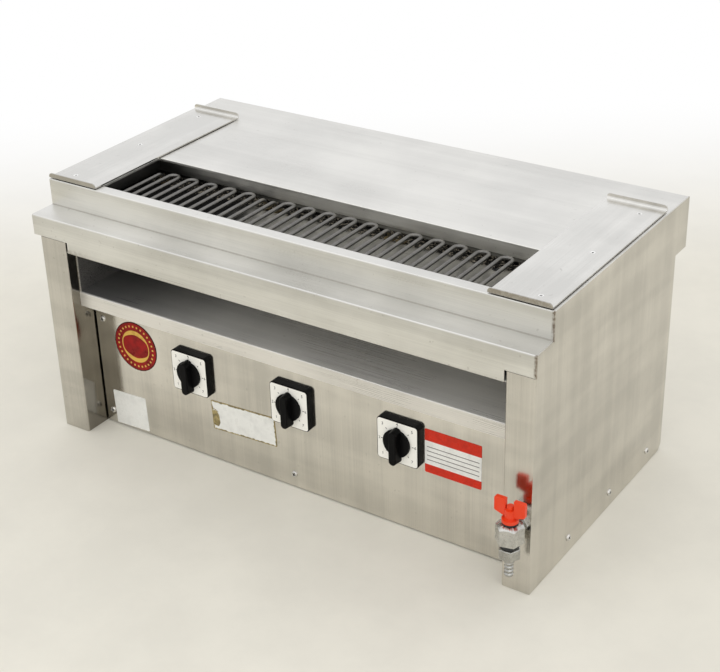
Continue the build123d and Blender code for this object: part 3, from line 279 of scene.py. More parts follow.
class Finish:
    """A material in the making, with calls for the nodes that the finishes share."""

    plus, minus, times, over = map(sum_by, ("ADD", "SUBTRACT", "MULTIPLY", "DIVIDE"))
    most, least = map(sum_by, ("MAXIMUM", "MINIMUM"))
    size, sine, angle = map(sum_by, ("ABSOLUTE", "SINE", "ARCTAN2"))

    def __init__(self, name, constants):
        self.material = bpy.data.materials.new(name)
        self.material.use_nodes = True
        self.tree = self.material.node_tree
        self.shader = self.tree.nodes["Principled BSDF"]
        self.place = self.tree.nodes.new("ShaderNodeTexCoord").outputs["Object"]
        for socket, value in constants.items():
            self.give(socket, value)

    def join(self, value, socket):
        """Links a node's output to a socket, or sets the socket to a number."""
        if isinstance(value, bpy.types.NodeSocket):
            self.tree.links.new(value, socket)
        else:
            socket.default_value = value

    def give(self, socket, value):
        """Sets or links one of the shader's own sockets."""
        self.join(value, self.shader.inputs[socket])

    def node(self, kind, inputs, output=0, **settings):
        """Adds a node, fills its inputs by name or number and gives one of its outputs."""
        node = self.tree.nodes.new(kind)
        for name, value in settings.items():
            setattr(node, name, value)
        for key, value in inputs.items():
            self.join(value, node.inputs[key])
        return node.outputs[output]

    def stretch(self, scale, turn=(0.0, 0.0, 0.0)):
        """The place on the object, stretched and turned."""
        inputs = {"Vector": self.place, "Scale": scale, "Rotation": turn}
        return self.node("ShaderNodeMapping", inputs)

    def noise(self, scale, detail=3.0, roughness=0.5, place=None):
        """Cloudy noise between 0 and 1, of that many clouds to the metre."""
        place = place or self.place
        inputs = {"Vector": place, "Scale": scale, "Detail": detail, "Roughness": roughness}
        return self.node("ShaderNodeTexNoise", inputs)

    def span(self, value, low, high, out_low=0.0, out_high=1.0):
        """A value eased from one span to another and held at its ends."""
        ends = {"From Min": low, "From Max": high, "To Min": out_low, "To Max": out_high}
        inputs = {"Value": value, **ends}
        return self.node("ShaderNodeMapRange", inputs, interpolation_type="SMOOTHSTEP")

    def spread(self, noise, out_low=0.0, out_high=1.0):
        """A noise eased over the whole of another span."""
        return self.span(noise, NOISE_LOW, NOISE_HIGH, out_low, out_high)

    def falling(self, value, low, high):
        """1 up to the low end, falling to 0 at the high one."""
        return self.span(value, low, high, 1.0, 0.0)

    def mix(self, share, first, second):
        """The first colour, with a share of the second."""
        inputs = {0: share, 6: shade(first), 7: shade(second)}
        return self.node("ShaderNodeMix", inputs, output=2, data_type="RGBA")

    def tones(self, share, colour, first, second):
        """A colour times the first factor, with a share of it times the second."""
        return self.mix(share, shade(colour, first), shade(colour, second))

    def axis(self, name):
        """One coordinate of the place on the object."""
        return self.node("ShaderNodeSeparateXYZ", {0: self.place}, output="XYZ".index(name))

    def near(self, value, middle, reach):
        """1 where a value is at the middle, falling to 0 at its reach."""
        return self.falling(self.size(self.minus(value, middle)), 0.0, reach)

    def within(self, value, low, high, fade):
        """1 where a value lies between two ends, falling to 0 over the fade outside them."""
        rise = self.span(value, low - fade, low)
        return self.times(rise, self.falling(value, high, high + fade))

    def distance(self, point):
        """The distance from a point."""
        inputs = {0: self.place, 1: point}
        return self.node("ShaderNodeVectorMath", inputs, output=1, operation="DISTANCE")

    def done(self, paint, roughness, height=None, depth=0.0):
        """The material, with its colour and roughness, and raised by a height times a depth."""
        self.give("Base Color", paint)
        self.give("Roughness", roughness)
        if height is not None:
            inputs = {"Height": height, "Distance": depth, "Strength": 1.0}
            self.give("Normal", self.node("ShaderNodeBump", inputs))
        return self.material


def shade(colour, factor=1.0):
    """A colour times a factor, with an alpha of 1; an output of a node stays as it is."""
    if isinstance(colour, bpy.types.NodeSocket):
        return colour
    return tuple(min(1.0, part * factor) for part in colour[:3]) + (1.0,)


def at(axis, place, fade):
    """A stain's span that is no longer than a point."""
    return axis, place, place, fade


def sheet_finish(
    name, steel, upright, roughness, grain, stains=(), metallic=1.0, relief=COARSE, wiped=WIPES
):
    """Stainless sheet: streaks along its grain, bands, smudges, wipe marks, specks and stains, with
    level faces painted lighter than upright ones as painted light from above.
    """
    finish = Finish(name, {"Metallic": metallic})
    band_grain = tuple(BAND_SHARE * part for part in grain)
    streaks = finish.noise(1.0, 4.0, 0.6, finish.stretch(grain))
    bands = finish.noise(1.0, place=finish.stretch(band_grain))
    smudges = finish.noise(6.5, 5.0, 0.58)
    wipes = finish.noise(1.0, place=finish.stretch(*wiped))
    dirt = finish.noise(210.0, 5.0, 0.7)
    specks = finish.noise(150.0, 2.0)
    tone = finish.plus(finish.spread(streaks, -0.2, 0.2), finish.spread(smudges, 0.2, 0.8))
    tone = finish.plus(tone, finish.span(wipes, 0.35, 0.65, -0.24, 0.24))
    tone = finish.plus(tone, finish.span(bands, 0.35, 0.65, -0.2, 0.2))
    # Painted light: faces that look up take the lighter level colour, and upright faces take the
    # darker upright colour as painted shade.
    normal = finish.node("ShaderNodeNewGeometry", {}, output=1)
    facing_up = finish.node("ShaderNodeSeparateXYZ", {0: normal}, output=2)
    paint = finish.mix(
        finish.span(finish.size(facing_up), 0.5, 0.9),
        finish.tones(tone, upright, 0.84, 1.1),
        finish.tones(tone, steel.sheet_colour, 0.89, 1.06),
    )
    paint = finish.mix(finish.span(specks, 0.70, 0.75, 0.0, 0.2), paint, SPECKS)
    broken = finish.span(dirt, 0.34, 0.58)
    for stain in stains:
        share = finish.times(broken if stain.ragged else 1.0, stain.strength)
        for axis, low, high, fade in stain.spans:
            share = finish.times(share, finish.within(finish.axis(axis), low, high, fade))
        paint = finish.mix(share, paint, stain.colour)
    rough = finish.plus(
        finish.spread(streaks, roughness * 0.75, roughness * 1.25),
        finish.span(smudges, 0.35, 0.75, 0.0, roughness * 0.35),
    )
    rough = finish.plus(rough, finish.span(wipes, 0.4, 0.7, 0.0, roughness * 0.3))
    return finish.done(paint, rough, streaks, relief)


def worn_metal(name, colour, roughness, scale, stain=None, stain_share=0.0, metallic=1.0):
    """A plain metal with cloudy tone, and with stains where they are asked for."""
    finish = Finish(name, {"Metallic": metallic})
    clouds = finish.noise(scale, 5.0, 0.6)
    spots = finish.noise(scale * 2.7, 6.0, 0.65)
    paint = finish.tones(finish.spread(clouds), colour, 0.86, 1.08)
    if stain is not None:
        cover = finish.span(spots, 0.5 - stain_share * 0.25, 0.72, 0.0, stain_share)
        paint = finish.mix(cover, paint, stain)
    rough = finish.spread(spots, roughness * 0.8, roughness * 1.3)
    return finish.done(paint, rough, spots, COARSE)


def pan_finish(name, steel):
    """The pan's sheet: burnt black on the left, a painted shadow along the back, cloudy bare steel
    elsewhere.
    """
    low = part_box("water_pan")[0]
    floor = low.z + FOLD
    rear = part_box("heater_left")[1].y - steel.soot_band
    finish = Finish(name, {"Specular IOR Level": 0.15})
    clouds = finish.noise(16.0, 5.0, 0.6)
    spots = finish.noise(95.0, 6.0, 0.7)
    crumbs = finish.noise(260.0, 4.0, 0.7)
    drips = finish.noise(1.0, place=finish.stretch((45.0, 45.0, 3.0)))
    along = finish.plus(finish.axis("X"), finish.spread(clouds, -0.025, 0.025))
    across = finish.plus(finish.axis("Y"), finish.spread(spots, -0.004, 0.004))
    left = finish.falling(along, steel.soot_end - 0.035, steel.soot_end + 0.045)
    # Painted shadow along the back of the floor; soot on the left and in spots.
    back = finish.span(across, rear - 0.002, rear + 0.003)
    soot_and_shade = finish.most(finish.most(left, back), finish.span(spots, 0.6, 0.74, 0.0, 0.6))
    wall = finish.span(finish.axis("Z"), floor + 0.003, floor + 0.006)
    level = finish.minus(1.0, wall)
    fume = finish.span(finish.axis("X"), low.x + 0.05, steel.soot_end + 0.15, 1.12, 0.15)
    fume = finish.plus(fume, finish.span(drips, 0.35, 0.65, -0.12, 0.12))
    cover = finish.plus(finish.times(soot_and_shade, level), finish.times(fume, wall))
    bare = finish.tones(finish.spread(clouds), steel.pan_colour, 0.84, 1.12)
    paint = finish.mix(cover, bare, steel.soot_colour)
    scattered = finish.times(finish.span(crumbs, 0.53, 0.6), finish.times(back, 0.85))
    scattered = finish.times(scattered, level)
    paint = finish.mix(scattered, paint, steel.crumb_colour)
    finish.give("Metallic", finish.span(wall, 0.0, 1.0, 0.55, 0.05))
    rough = finish.span(finish.most(cover, wall), 0.0, 1.0, 0.3, 0.8)
    return finish.done(paint, rough, spots, 0.00004)


def moulding(name, colour, roughness, relief, gloss=0.5, coat=0.0, dust=0.02):
    """Moulded plastic or rubber: an even colour with a fine skin and faint dust."""
    constants = {"Metallic": 0.0, "Coat Roughness": 0.08}
    finish = Finish(name, {"Specular IOR Level": gloss, "Coat Weight": coat, **constants})
    skin = finish.noise(2600.0, 2.0)
    clouds = finish.noise(38.0, 5.0, 0.6)
    dusty = tuple(part + dust for part in colour)
    paint = finish.mix(finish.span(clouds, 0.45, 0.8), colour, dusty)
    rough = finish.span(clouds, 0.3, 0.75, roughness * 0.85, roughness * 1.35)
    return finish.done(paint, rough, skin, relief)


def wear(material, *nodes):
    """Gives CAD nodes their material."""
    for node in nodes:
        mesh = NODES[node].data
        mesh.materials.clear()
        mesh.materials.append(material)
        for face in mesh.polygons:
            face.material_index = 0


def soften(width, *nodes):
    """Rounds the sharp edges of CAD nodes with modifiers, so that they catch the light."""
    for node in nodes:
        modifiers = NODES[node].modifiers
        weld = modifiers.new("join_faces", "WELD")
        weld.merge_threshold = 0.00001
        plain = modifiers.new("plain_faces", "DECIMATE")
        plain.decimate_type = "DISSOLVE"
        plain.angle_limit = math.radians(0.5)
        bevel = modifiers.new("soft_edges", "BEVEL")
        bevel.width = width
        bevel.segments = 2
        bevel.limit_method = "ANGLE"
        bevel.angle_limit = math.radians(50.0)
        normals = modifiers.new("even_shading", "WEIGHTED_NORMAL")
        normals.weight = 80


def islands(node):
    """The lowest and highest corners of each separate solid in a CAD node."""
    mesh = NODES[node].data
    keys = [tuple(round(part, 6) for part in vertex.co) for vertex in mesh.vertices]
    roots = {key: key for key in keys}

    def root(key):
        while roots[key] != key:
            roots[key] = roots[roots[key]]
            key = roots[key]
        return key

    for edge in mesh.edges:
        roots[root(keys[edge.vertices[0]])] = root(keys[edge.vertices[1]])
    groups = {}
    for key in roots:
        groups.setdefault(root(key), []).append(key)
    boxes = []
    for points in groups.values():
        low = Vector(min(point[i] for point in points) for i in range(3))
        high = Vector(max(point[i] for point in points) for i in range(3))
        boxes.append((low, high))
    return sorted(boxes, key=lambda box: tuple(box[0]))


def add_object(name, data):
    """A new object in the scene."""
    added = bpy.data.objects.new(name, data)
    bpy.context.scene.collection.objects.link(added)
    return added


def add_piece(name, shape, materials, replaced=()):
    """Turns a bmesh into a piece of the grill that rides on the housing."""
    bmesh.ops.recalc_face_normals(shape, faces=shape.faces)
    for face in shape.faces:
        face.smooth = True
    for edge in shape.edges:
        edge.smooth = edge.calc_face_angle(math.pi) < SMOOTH_ANGLE
    mesh = bpy.data.meshes.new(name)
    shape.to_mesh(mesh)
    shape.free()
    for material in materials:
        mesh.materials.append(material)
    piece = add_object(name, mesh)
    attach(piece, HOUSING)
    if replaced:
        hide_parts(*replaced)


def ring(shape, radius, height, count, place, sinking=None):
    """A ring of vertices about the local Z axis, at a height that may sink round it."""
    vertices = []
    for i in range(count):
        angle = 2.0 * math.pi * i / count
        x, y = radius * math.cos(angle), radius * math.sin(angle)
        z = height if sinking is None else height - sinking(x, y)
        vertices.append(shape.verts.new(place @ Vector((x, y, z))))
    return vertices


def bridge(shape, rows):
    """Faces between rings of the same count, each with the next."""
    for first, second in zip(rows, rows[1:]):
        for i in range(len(first)):
            j = (i + 1) % len(first)
            shape.faces.new((first[i], first[j], second[j], second[i]))


def loft(shape, place, outlines):
    """A solid through outlines of the same count, closed at both ends."""
    rows = [[shape.verts.new(place @ Vector(point)) for point in outline] for outline in outlines]
    bridge(shape, rows)
    shape.faces.new(rows[-1])
    shape.faces.new(rows[0])


def cap(shape, vertices, point):
    """A fan of faces that closes a ring."""
    middle = shape.verts.new(point)
    for i in range(len(vertices)):
        shape.faces.new((vertices[i], vertices[(i + 1) % len(vertices)], middle))


def held(value):
    """A value held between 0 and 1."""
    return min(1.0, max(0.0, value))


def screw(shape, place, radius, height, length, sunk, settings):
    """One cross-recessed screw, its head on the local plane Z 0 or sunk flush with it."""
    reach = settings.recess_reach * radius
    half = settings.recess_width * radius
    depth = settings.recess_depth * radius

    def recess(x, y):
        along, across = max(abs(x), abs(y)), min(abs(x), abs(y))
        side = held((SIDE_START * half - across) / (SIDE_RUN * half))
        end = held((reach - along) / (END_RUN * reach))
        return depth * side * end * (1.0 - ARM_RISE * along / reach)

    rings = []
    for share in RING_SHARES:
        crown = height * (1.0 - share ** CROWN_POWER) ** (1.0 / CROWN_POWER)
        rings.append(ring(shape, radius * share, crown, settings.spokes, place, recess))
    cap(shape, rings[0], place @ Vector((0.0, 0.0, height - depth)))
    neck = radius - SHANK_RADIUS if sunk else 0.0
    for fall in (neck, length):
        rings.append(ring(shape, SHANK_RADIUS, -fall, settings.spokes, place))
    bridge(shape, rings)
    cap(shape, rings[-1], place @ Vector((0.0, 0.0, -length)))
    # Faces deep in the recess take the second, dark material: grime and painted shade.
    flat = place.inverted()
    for vertex in {vertex for row in rings[:len(RING_SHARES)] for vertex in row}:
        for face in vertex.link_faces:
            middle = flat @ face.calc_center_median()
            if middle.z > -radius and recess(middle.x, middle.y) > GRIME_AND_SHADE_DEPTH * depth:
                face.material_index = 1


def facing(point, outward, turn):
    """The place of a local frame at a point, its Z axis outward and turned about it."""
    quaternion = Vector(outward).to_track_quat("Z", "Y")
    turned = quaternion.to_matrix().to_4x4() @ Matrix.Rotation(turn, 4, "Z")
    return Matrix.Translation(point) @ turned


def step_of(node):
    """The riser's place along Y and the ledge's height, from the outline of a side panel."""
    low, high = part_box(node)
    points = [vertex.co for vertex in NODES[node].data.vertices]
    outline = [point for point in points if point.x > high.x - CLOSE]
    riser = min(point.y for point in outline if point.z > high.z - CLOSE)
    ledge = max(point.z for point in outline if point.y < low.y + FOLD)
    return riser, ledge


class GRILL_OT_sheets(bpy.types.Operator):
    """Finish the folded sheets and draw the weld seam of the right side panel."""

    bl_idname = "grill.sheets"
    bl_label = "Sheets"

    def execute(self, context):
        steel = context.scene.grill_steel
        welds = self.welds(steel)
        self.dress(steel, welds)
        soften(steel.edge_softness, "top_cover", "apron", "shelf", "left_end_plate",
               "right_side_panel", "left_side_panel", "rear_panel", "left_skewer_plate",
               "right_skewer_plate", "base_plate")
        seam = sheet_finish("weld_seam", steel, steel.upright_colour, 0.3, ALONG_Y, welds)
        self.draw_seam(steel, seam)
        return {"FINISHED"}

    def welds(self, steel):
        """Heat tint beside the upright runs of the weld seam."""
        low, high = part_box("right_side_panel")
        riser, ledge = step_of("right_side_panel")
        seam = at("X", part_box("top_cover")[1].x, 0.004)
        runs = ((riser, ledge, high.z), (low.y, ledge - 0.03, ledge))
        return [
            Stain(steel.tint_colour, 0.9, True,
                  (seam, at("Y", place, 0.003), ("Z", foot, crown, 0.004)))
            for place, foot, crown in runs
        ]

    def grime(self, steel):
        """Painted shade in the ledge's fold, tint at the apron's left foot and soot in the opening.
        """
        riser, ledge = step_of("right_side_panel")
        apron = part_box("apron")[0]
        low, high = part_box("heater_left")[0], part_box("heater_right")[1]
        opening = (
            ("X", low.x - 0.05, low.x + 0.01, 0.13),
            ("Y", low.y - 0.005, high.y + 0.02, 0.01),
            ("Z", low.z - 0.02, ledge + 0.0365, 0.002),
        )
        fold = (at("Y", riser, 0.0022), at("Z", ledge, 0.0022))
        foot = (at("X", apron.x, 0.06), at("Z", apron.z, 0.012))
        return [
            # Painted shade: a dark line in the fold at the riser's foot.
            Stain(steel.grime_colour, 0.5, False, fold),
            Stain(steel.tint_colour, 0.4, True, foot),
            Stain(steel.soot_colour, 0.9, False, opening),
        ]

    def lips(self, steel):
        """Grime and tint along the skewer plates' front edges, and a painted highlight along their
        rear folds.
        """
        low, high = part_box("left_skewer_plate")
        right = (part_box("right_skewer_plate")[0].x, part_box("right_side_panel")[1].x)
        bend = low.z + FOLD
        fold = (at("Y", high.y - FOLD, 0.003), ("Z", bend, bend + FOLD, 0.002))
        return [
            Stain(steel.grime_colour, 0.4, False, (at("Y", low.y, 0.004),)),
            Stain(steel.tint_colour, 0.3, True, (at("Y", low.y, 0.003), ("X", *right, 0.01))),
            # Painted highlight: the rear folds are painted near white.
            Stain(steel.worn_colour, 0.85, False, fold),
        ]

    def dress(self, steel, welds):
        """Makes the sheets' finishes and gives them to the CAD nodes."""
        upright = steel.upright_colour
        low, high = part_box("shelf")
        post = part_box("left_side_panel")[0].y
        # Painted shade on the left post's inner return, beside the control panel.
        inner = (at("X", low.x, 0.0008), ("Y", post + 0.004, post + 0.05, 0.003))
        film = Stain(steel.return_colour, 0.7, False, inner)
        # Painted shade: the shelf darkens towards its left end, deep in the slot.
        deep = (("X", low.x, low.x + 0.03, 0.26), ("Y", low.y + 0.004, high.y, 0.002))
        slot_shade = Stain(steel.slot_colour, 0.8, False, deep)

        rows = (
            ("stainless_across", steel.riser_colour, 1.8, ALONG_X, welds + self.grime(steel), {},
             ("top_cover", "apron")),
            ("stainless_sides", upright, 0.75, STANDING, welds + [film], {"wiped": SLANTING_WIPES},
             ("left_end_plate", "right_side_panel", "left_side_panel", "rear_panel")),
            ("stainless_plates", upright, 1.0, ALONG_Y, self.lips(steel), {"relief": FINE},
             ("left_skewer_plate", "right_skewer_plate")),
            ("stainless_panel", steel.panel_colour, 0.6, STANDING, (), {}, ("control_panel",)),
            ("stainless_shelf", steel.panel_colour, 1.6, ALONG_X, [slot_shade], {"metallic": 0.5},
             ("shelf",)),
            ("slot_ceiling", upright, 2.0, ALONG_X, (), {"metallic": 0.4}, ("wiring_cover",)),
        )
        for name, colour, share, grain, stains, more, nodes in rows:
            rough = steel.sheet_roughness * share
            wear(sheet_finish(name, steel, colour, rough, grain, stains, **more), *nodes)
        mill = worn_metal("mill_sheet", steel.mill_colour, 0.38, 14.0)
        wear(mill, "base_plate", "shelf_supports", "drain_pipe", "skewer_plate_spacers")

    def draw_seam(self, steel, material):
        """A rippled bead along the joint of the right side panel and the top."""
        low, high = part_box("right_side_panel")
        riser, ledge = step_of("right_side_panel")
        bends = (
            (low.y, ledge - SEAM_DROP),
            (low.y, ledge),
            (riser, ledge),
            (riser, high.z),
            (high.y - FOLD, high.z),
        )
        route = [Vector((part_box("top_cover")[1].x, y, z)) for y, z in bends]
        points = []
        for start, end in zip(route, route[1:]):
            count = max(2, round((end - start).length / steel.seam_step))
            points += [start.lerp(end, i / count) for i in range(count)]
        points.append(route[-1])
        curve = bpy.data.curves.new("weld_seam", "CURVE")
        curve.dimensions = "3D"
        curve.bevel_depth = steel.seam_radius
        curve.bevel_resolution = 3
        curve.use_fill_caps = True
        spline = curve.splines.new("POLY")
        spline.points.add(len(points) - 1)
        for i, point in enumerate(points):
            spline.points[i].co = (*point, 1.0)
            spline.points[i].radius = 1.0 - RIPPLE + RIPPLE * math.sin(i * RIPPLE_TURN)
        curve.materials.append(material)
        seam = add_object("weld_seam", curve)
        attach(seam, HOUSING)


class GRILL_OT_heaters(bpy.types.Operator):
    """Finish the heaters, the water pan and the fittings between them."""

    bl_idname = "grill.heaters"
    bl_label = "Heaters and pan"

    def execute(self, context):
        steel = context.scene.grill_steel
        sheath = worn_metal("heater_sheath", steel.sheath_colour, 0.32, 60.0, steel.ash_colour,
                            0.25, metallic=0.9)
        wear(sheath, *("heater_" + side for side in SIDES))
        wear(pan_finish("pan_sheet", steel), "water_pan", "heater_rest")
        brass = worn_metal("bushing_brass", BRASS, 0.42, 90.0, TARNISH, 0.9)
        wear(brass, "heater_bushings", "heater_nuts")
        wear(moulding("bead_ceramic", CERAMIC, 0.6, PLAIN), "heater_terminals")
        return {"FINISHED"}


class GRILL_OT_screws(bpy.types.Operator):
    """Make the cross-recessed screws in place of the plain ones."""

    bl_idname = "grill.screws"
    bl_label = "Screws"

    def execute(self, context):
        settings = context.scene.grill_screws
        metal = worn_metal("screw_steel", settings.screw_colour, 0.22, 160.0, SCREW_STAIN, 0.2)
        # Painted highlight: the plate screws' steel is near white.
        bright = worn_metal("plate_screw_steel", settings.bright_colour, 0.3, 160.0)
        grime = moulding("recess_grime_and_shade", settings.grime_colour, 0.7, PLAIN)
        rows = (
            ("control_panel_screws", (0.0, -1.0, 0.0), metal),
            ("rear_panel_screws", (0.0, 1.0, 0.0), metal),
            ("side_panel_screws", None, metal),
            ("skewer_plate_screws", (0.0, 0.0, 1.0), bright),
        )
        for node, outward, steel in rows:
            sunk = node == "skewer_plate_screws"
            height = 0.0 if sunk else HEAD_HEIGHT
            shape = bmesh.new()
            for i, (low, high) in enumerate(islands(node)):
                middle = (low + high) / 2.0
                way = Vector(outward or (math.copysign(1.0, middle.x), 0.0, 0.0))
                run = abs((high - low).dot(way))
                wide = max((high - low) - Vector(abs(part) * run for part in way))
                seat = middle + way * (run / 2.0 - height)
                place = facing(seat, way, FIRST_TURN + NEXT_TURN * i)
                screw(shape, place, wide / 2.0, height, run - height, sunk, settings)
            name = node.replace("_screws", "_cross_screws")
            add_piece(name, shape, (steel, grime), replaced=(node,))
        wear(metal, "skewer_plate_nuts")
        return {"FINISHED"}


class GRILL_OT_switches(bpy.types.Operator):
    """Finish the rotary switches and print plain ticks and numbers on their dial plates."""

    bl_idname = "grill.switches"
    bl_label = "Switches"

    def execute(self, context):
        settings = context.scene.grill_switches
        black = moulding("switch_black", settings.black_colour, 0.38, FINE, gloss=0.08, dust=0.003)
        plate = moulding("dial_plate", settings.plate_colour, 0.32, FINE, coat=0.15)
        ink = moulding("dial_ink", settings.ink_colour, 0.5, FINE)
        body = moulding("switch_body", SWITCH_BODY, 0.55, COARSE)
        shaft = worn_metal("shaft_steel", SHAFT, 0.25, 120.0)
        for side in SIDES:
            wear(black, "switch_frame_" + side, "knob_" + side)
            wear(plate, "legend_plate_" + side)
            wear(body, "switch_body_" + side)
            wear(shaft, "switch_shaft_" + side)
            self.print_marks(side, settings, ink)
        wear(shaft, "valve_stem")
        return {"FINISHED"}

    def print_marks(self, side, settings, ink):
        """Ticks at the switch positions and a number beside each."""
        low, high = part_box("legend_plate_" + side)
        middle = Vector(((low.x + high.x) / 2.0, low.y, (low.z + high.z) / 2.0))
        upright = Matrix(((1, 0, 0, 0), (0, 0, -1, 0), (0, 1, 0, 0), (0, 0, 0, 1)))
        face = Matrix.Translation(middle) @ upright
        shape = bmesh.new()
        for step in range(settings.steps):
            angle = -math.pi / 2.0 - 2.0 * math.pi * step / settings.steps
            way = Vector((math.cos(angle), math.sin(angle), 0.0))
            self.add_tick(shape, face @ Matrix.Rotation(angle, 4, "Z"), settings)
            reach = settings.corner_reach if step % 2 else settings.number_reach
            self.add_number(shape, str(step), face @ Matrix.Translation(way * reach), settings)
        add_piece("dial_marks_" + side, shape, (ink,))

    def add_tick(self, shape, place, settings):
        """A short bar with chamfered edges, along the local X axis."""
        outlines = []
        for inset in (0.0, settings.mark_depth):
            start = settings.tick_start + inset
            end = settings.tick_start + settings.tick_length - inset
            half = settings.tick_width / 2.0 - inset
            corners = ((start, -half), (end, -half), (end, half), (start, half))
            outlines.append([(x, y, inset) for x, y in corners])
        loft(shape, place, outlines)

    def add_number(self, shape, text, place, settings):
        """A plain number, raised as thinly as a print."""
        letters = bpy.data.curves.new("number", "FONT")
        letters.body = text
        letters.size = settings.number_height * FONT_SIZE
        letters.extrude = settings.mark_depth / 2.0
        letters.align_x = "CENTER"
        letters.align_y = "CENTER"
        letters.resolution_u = 4
        holder = add_object("number", letters)
        bpy.context.view_layer.update()
        mesh = bpy.data.meshes.new_from_object(holder)
        mesh.transform(place @ Matrix.Translation((0.0, 0.0, settings.mark_depth / 2.0)))
        shape.from_mesh(mesh)
        bpy.data.objects.remove(holder)
        bpy.data.curves.remove(letters)
        bpy.data.meshes.remove(mesh)


class GRILL_OT_cock(bpy.types.Operator):
    """Finish the drain cock."""

    bl_idname = "grill.cock"
    bl_label = "Drain cock"

    def execute(self, context):
        settings = context.scene.grill_cock
        bright = worn_metal("bright_plating", settings.plating_colour, 0.24, 70.0, COCK_STAIN, 0.3)
        wear(bright, "valve_body", "valve_locknuts", "valve_ball")
        dull = worn_metal("dull_plating", settings.outlet_colour, 0.26, 70.0, OUTLET_STAIN, 0.35)
        wear(dull, "outlet_nut", "hose_barb")
        soften(settings.corner_softness, "valve_body", "valve_locknuts", "outlet_nut")
        rubber = moulding("seal_rubber", settings.seal_colour, 0.62, COARSE)
        wear(rubber, "stem_seal", "valve_gasket")
        red = moulding("red_moulding", settings.handle_colour, 0.32, FINE, gloss=0.3, coat=0.05)
        wear(red, "valve_handle")
        return {"FINISHED"}


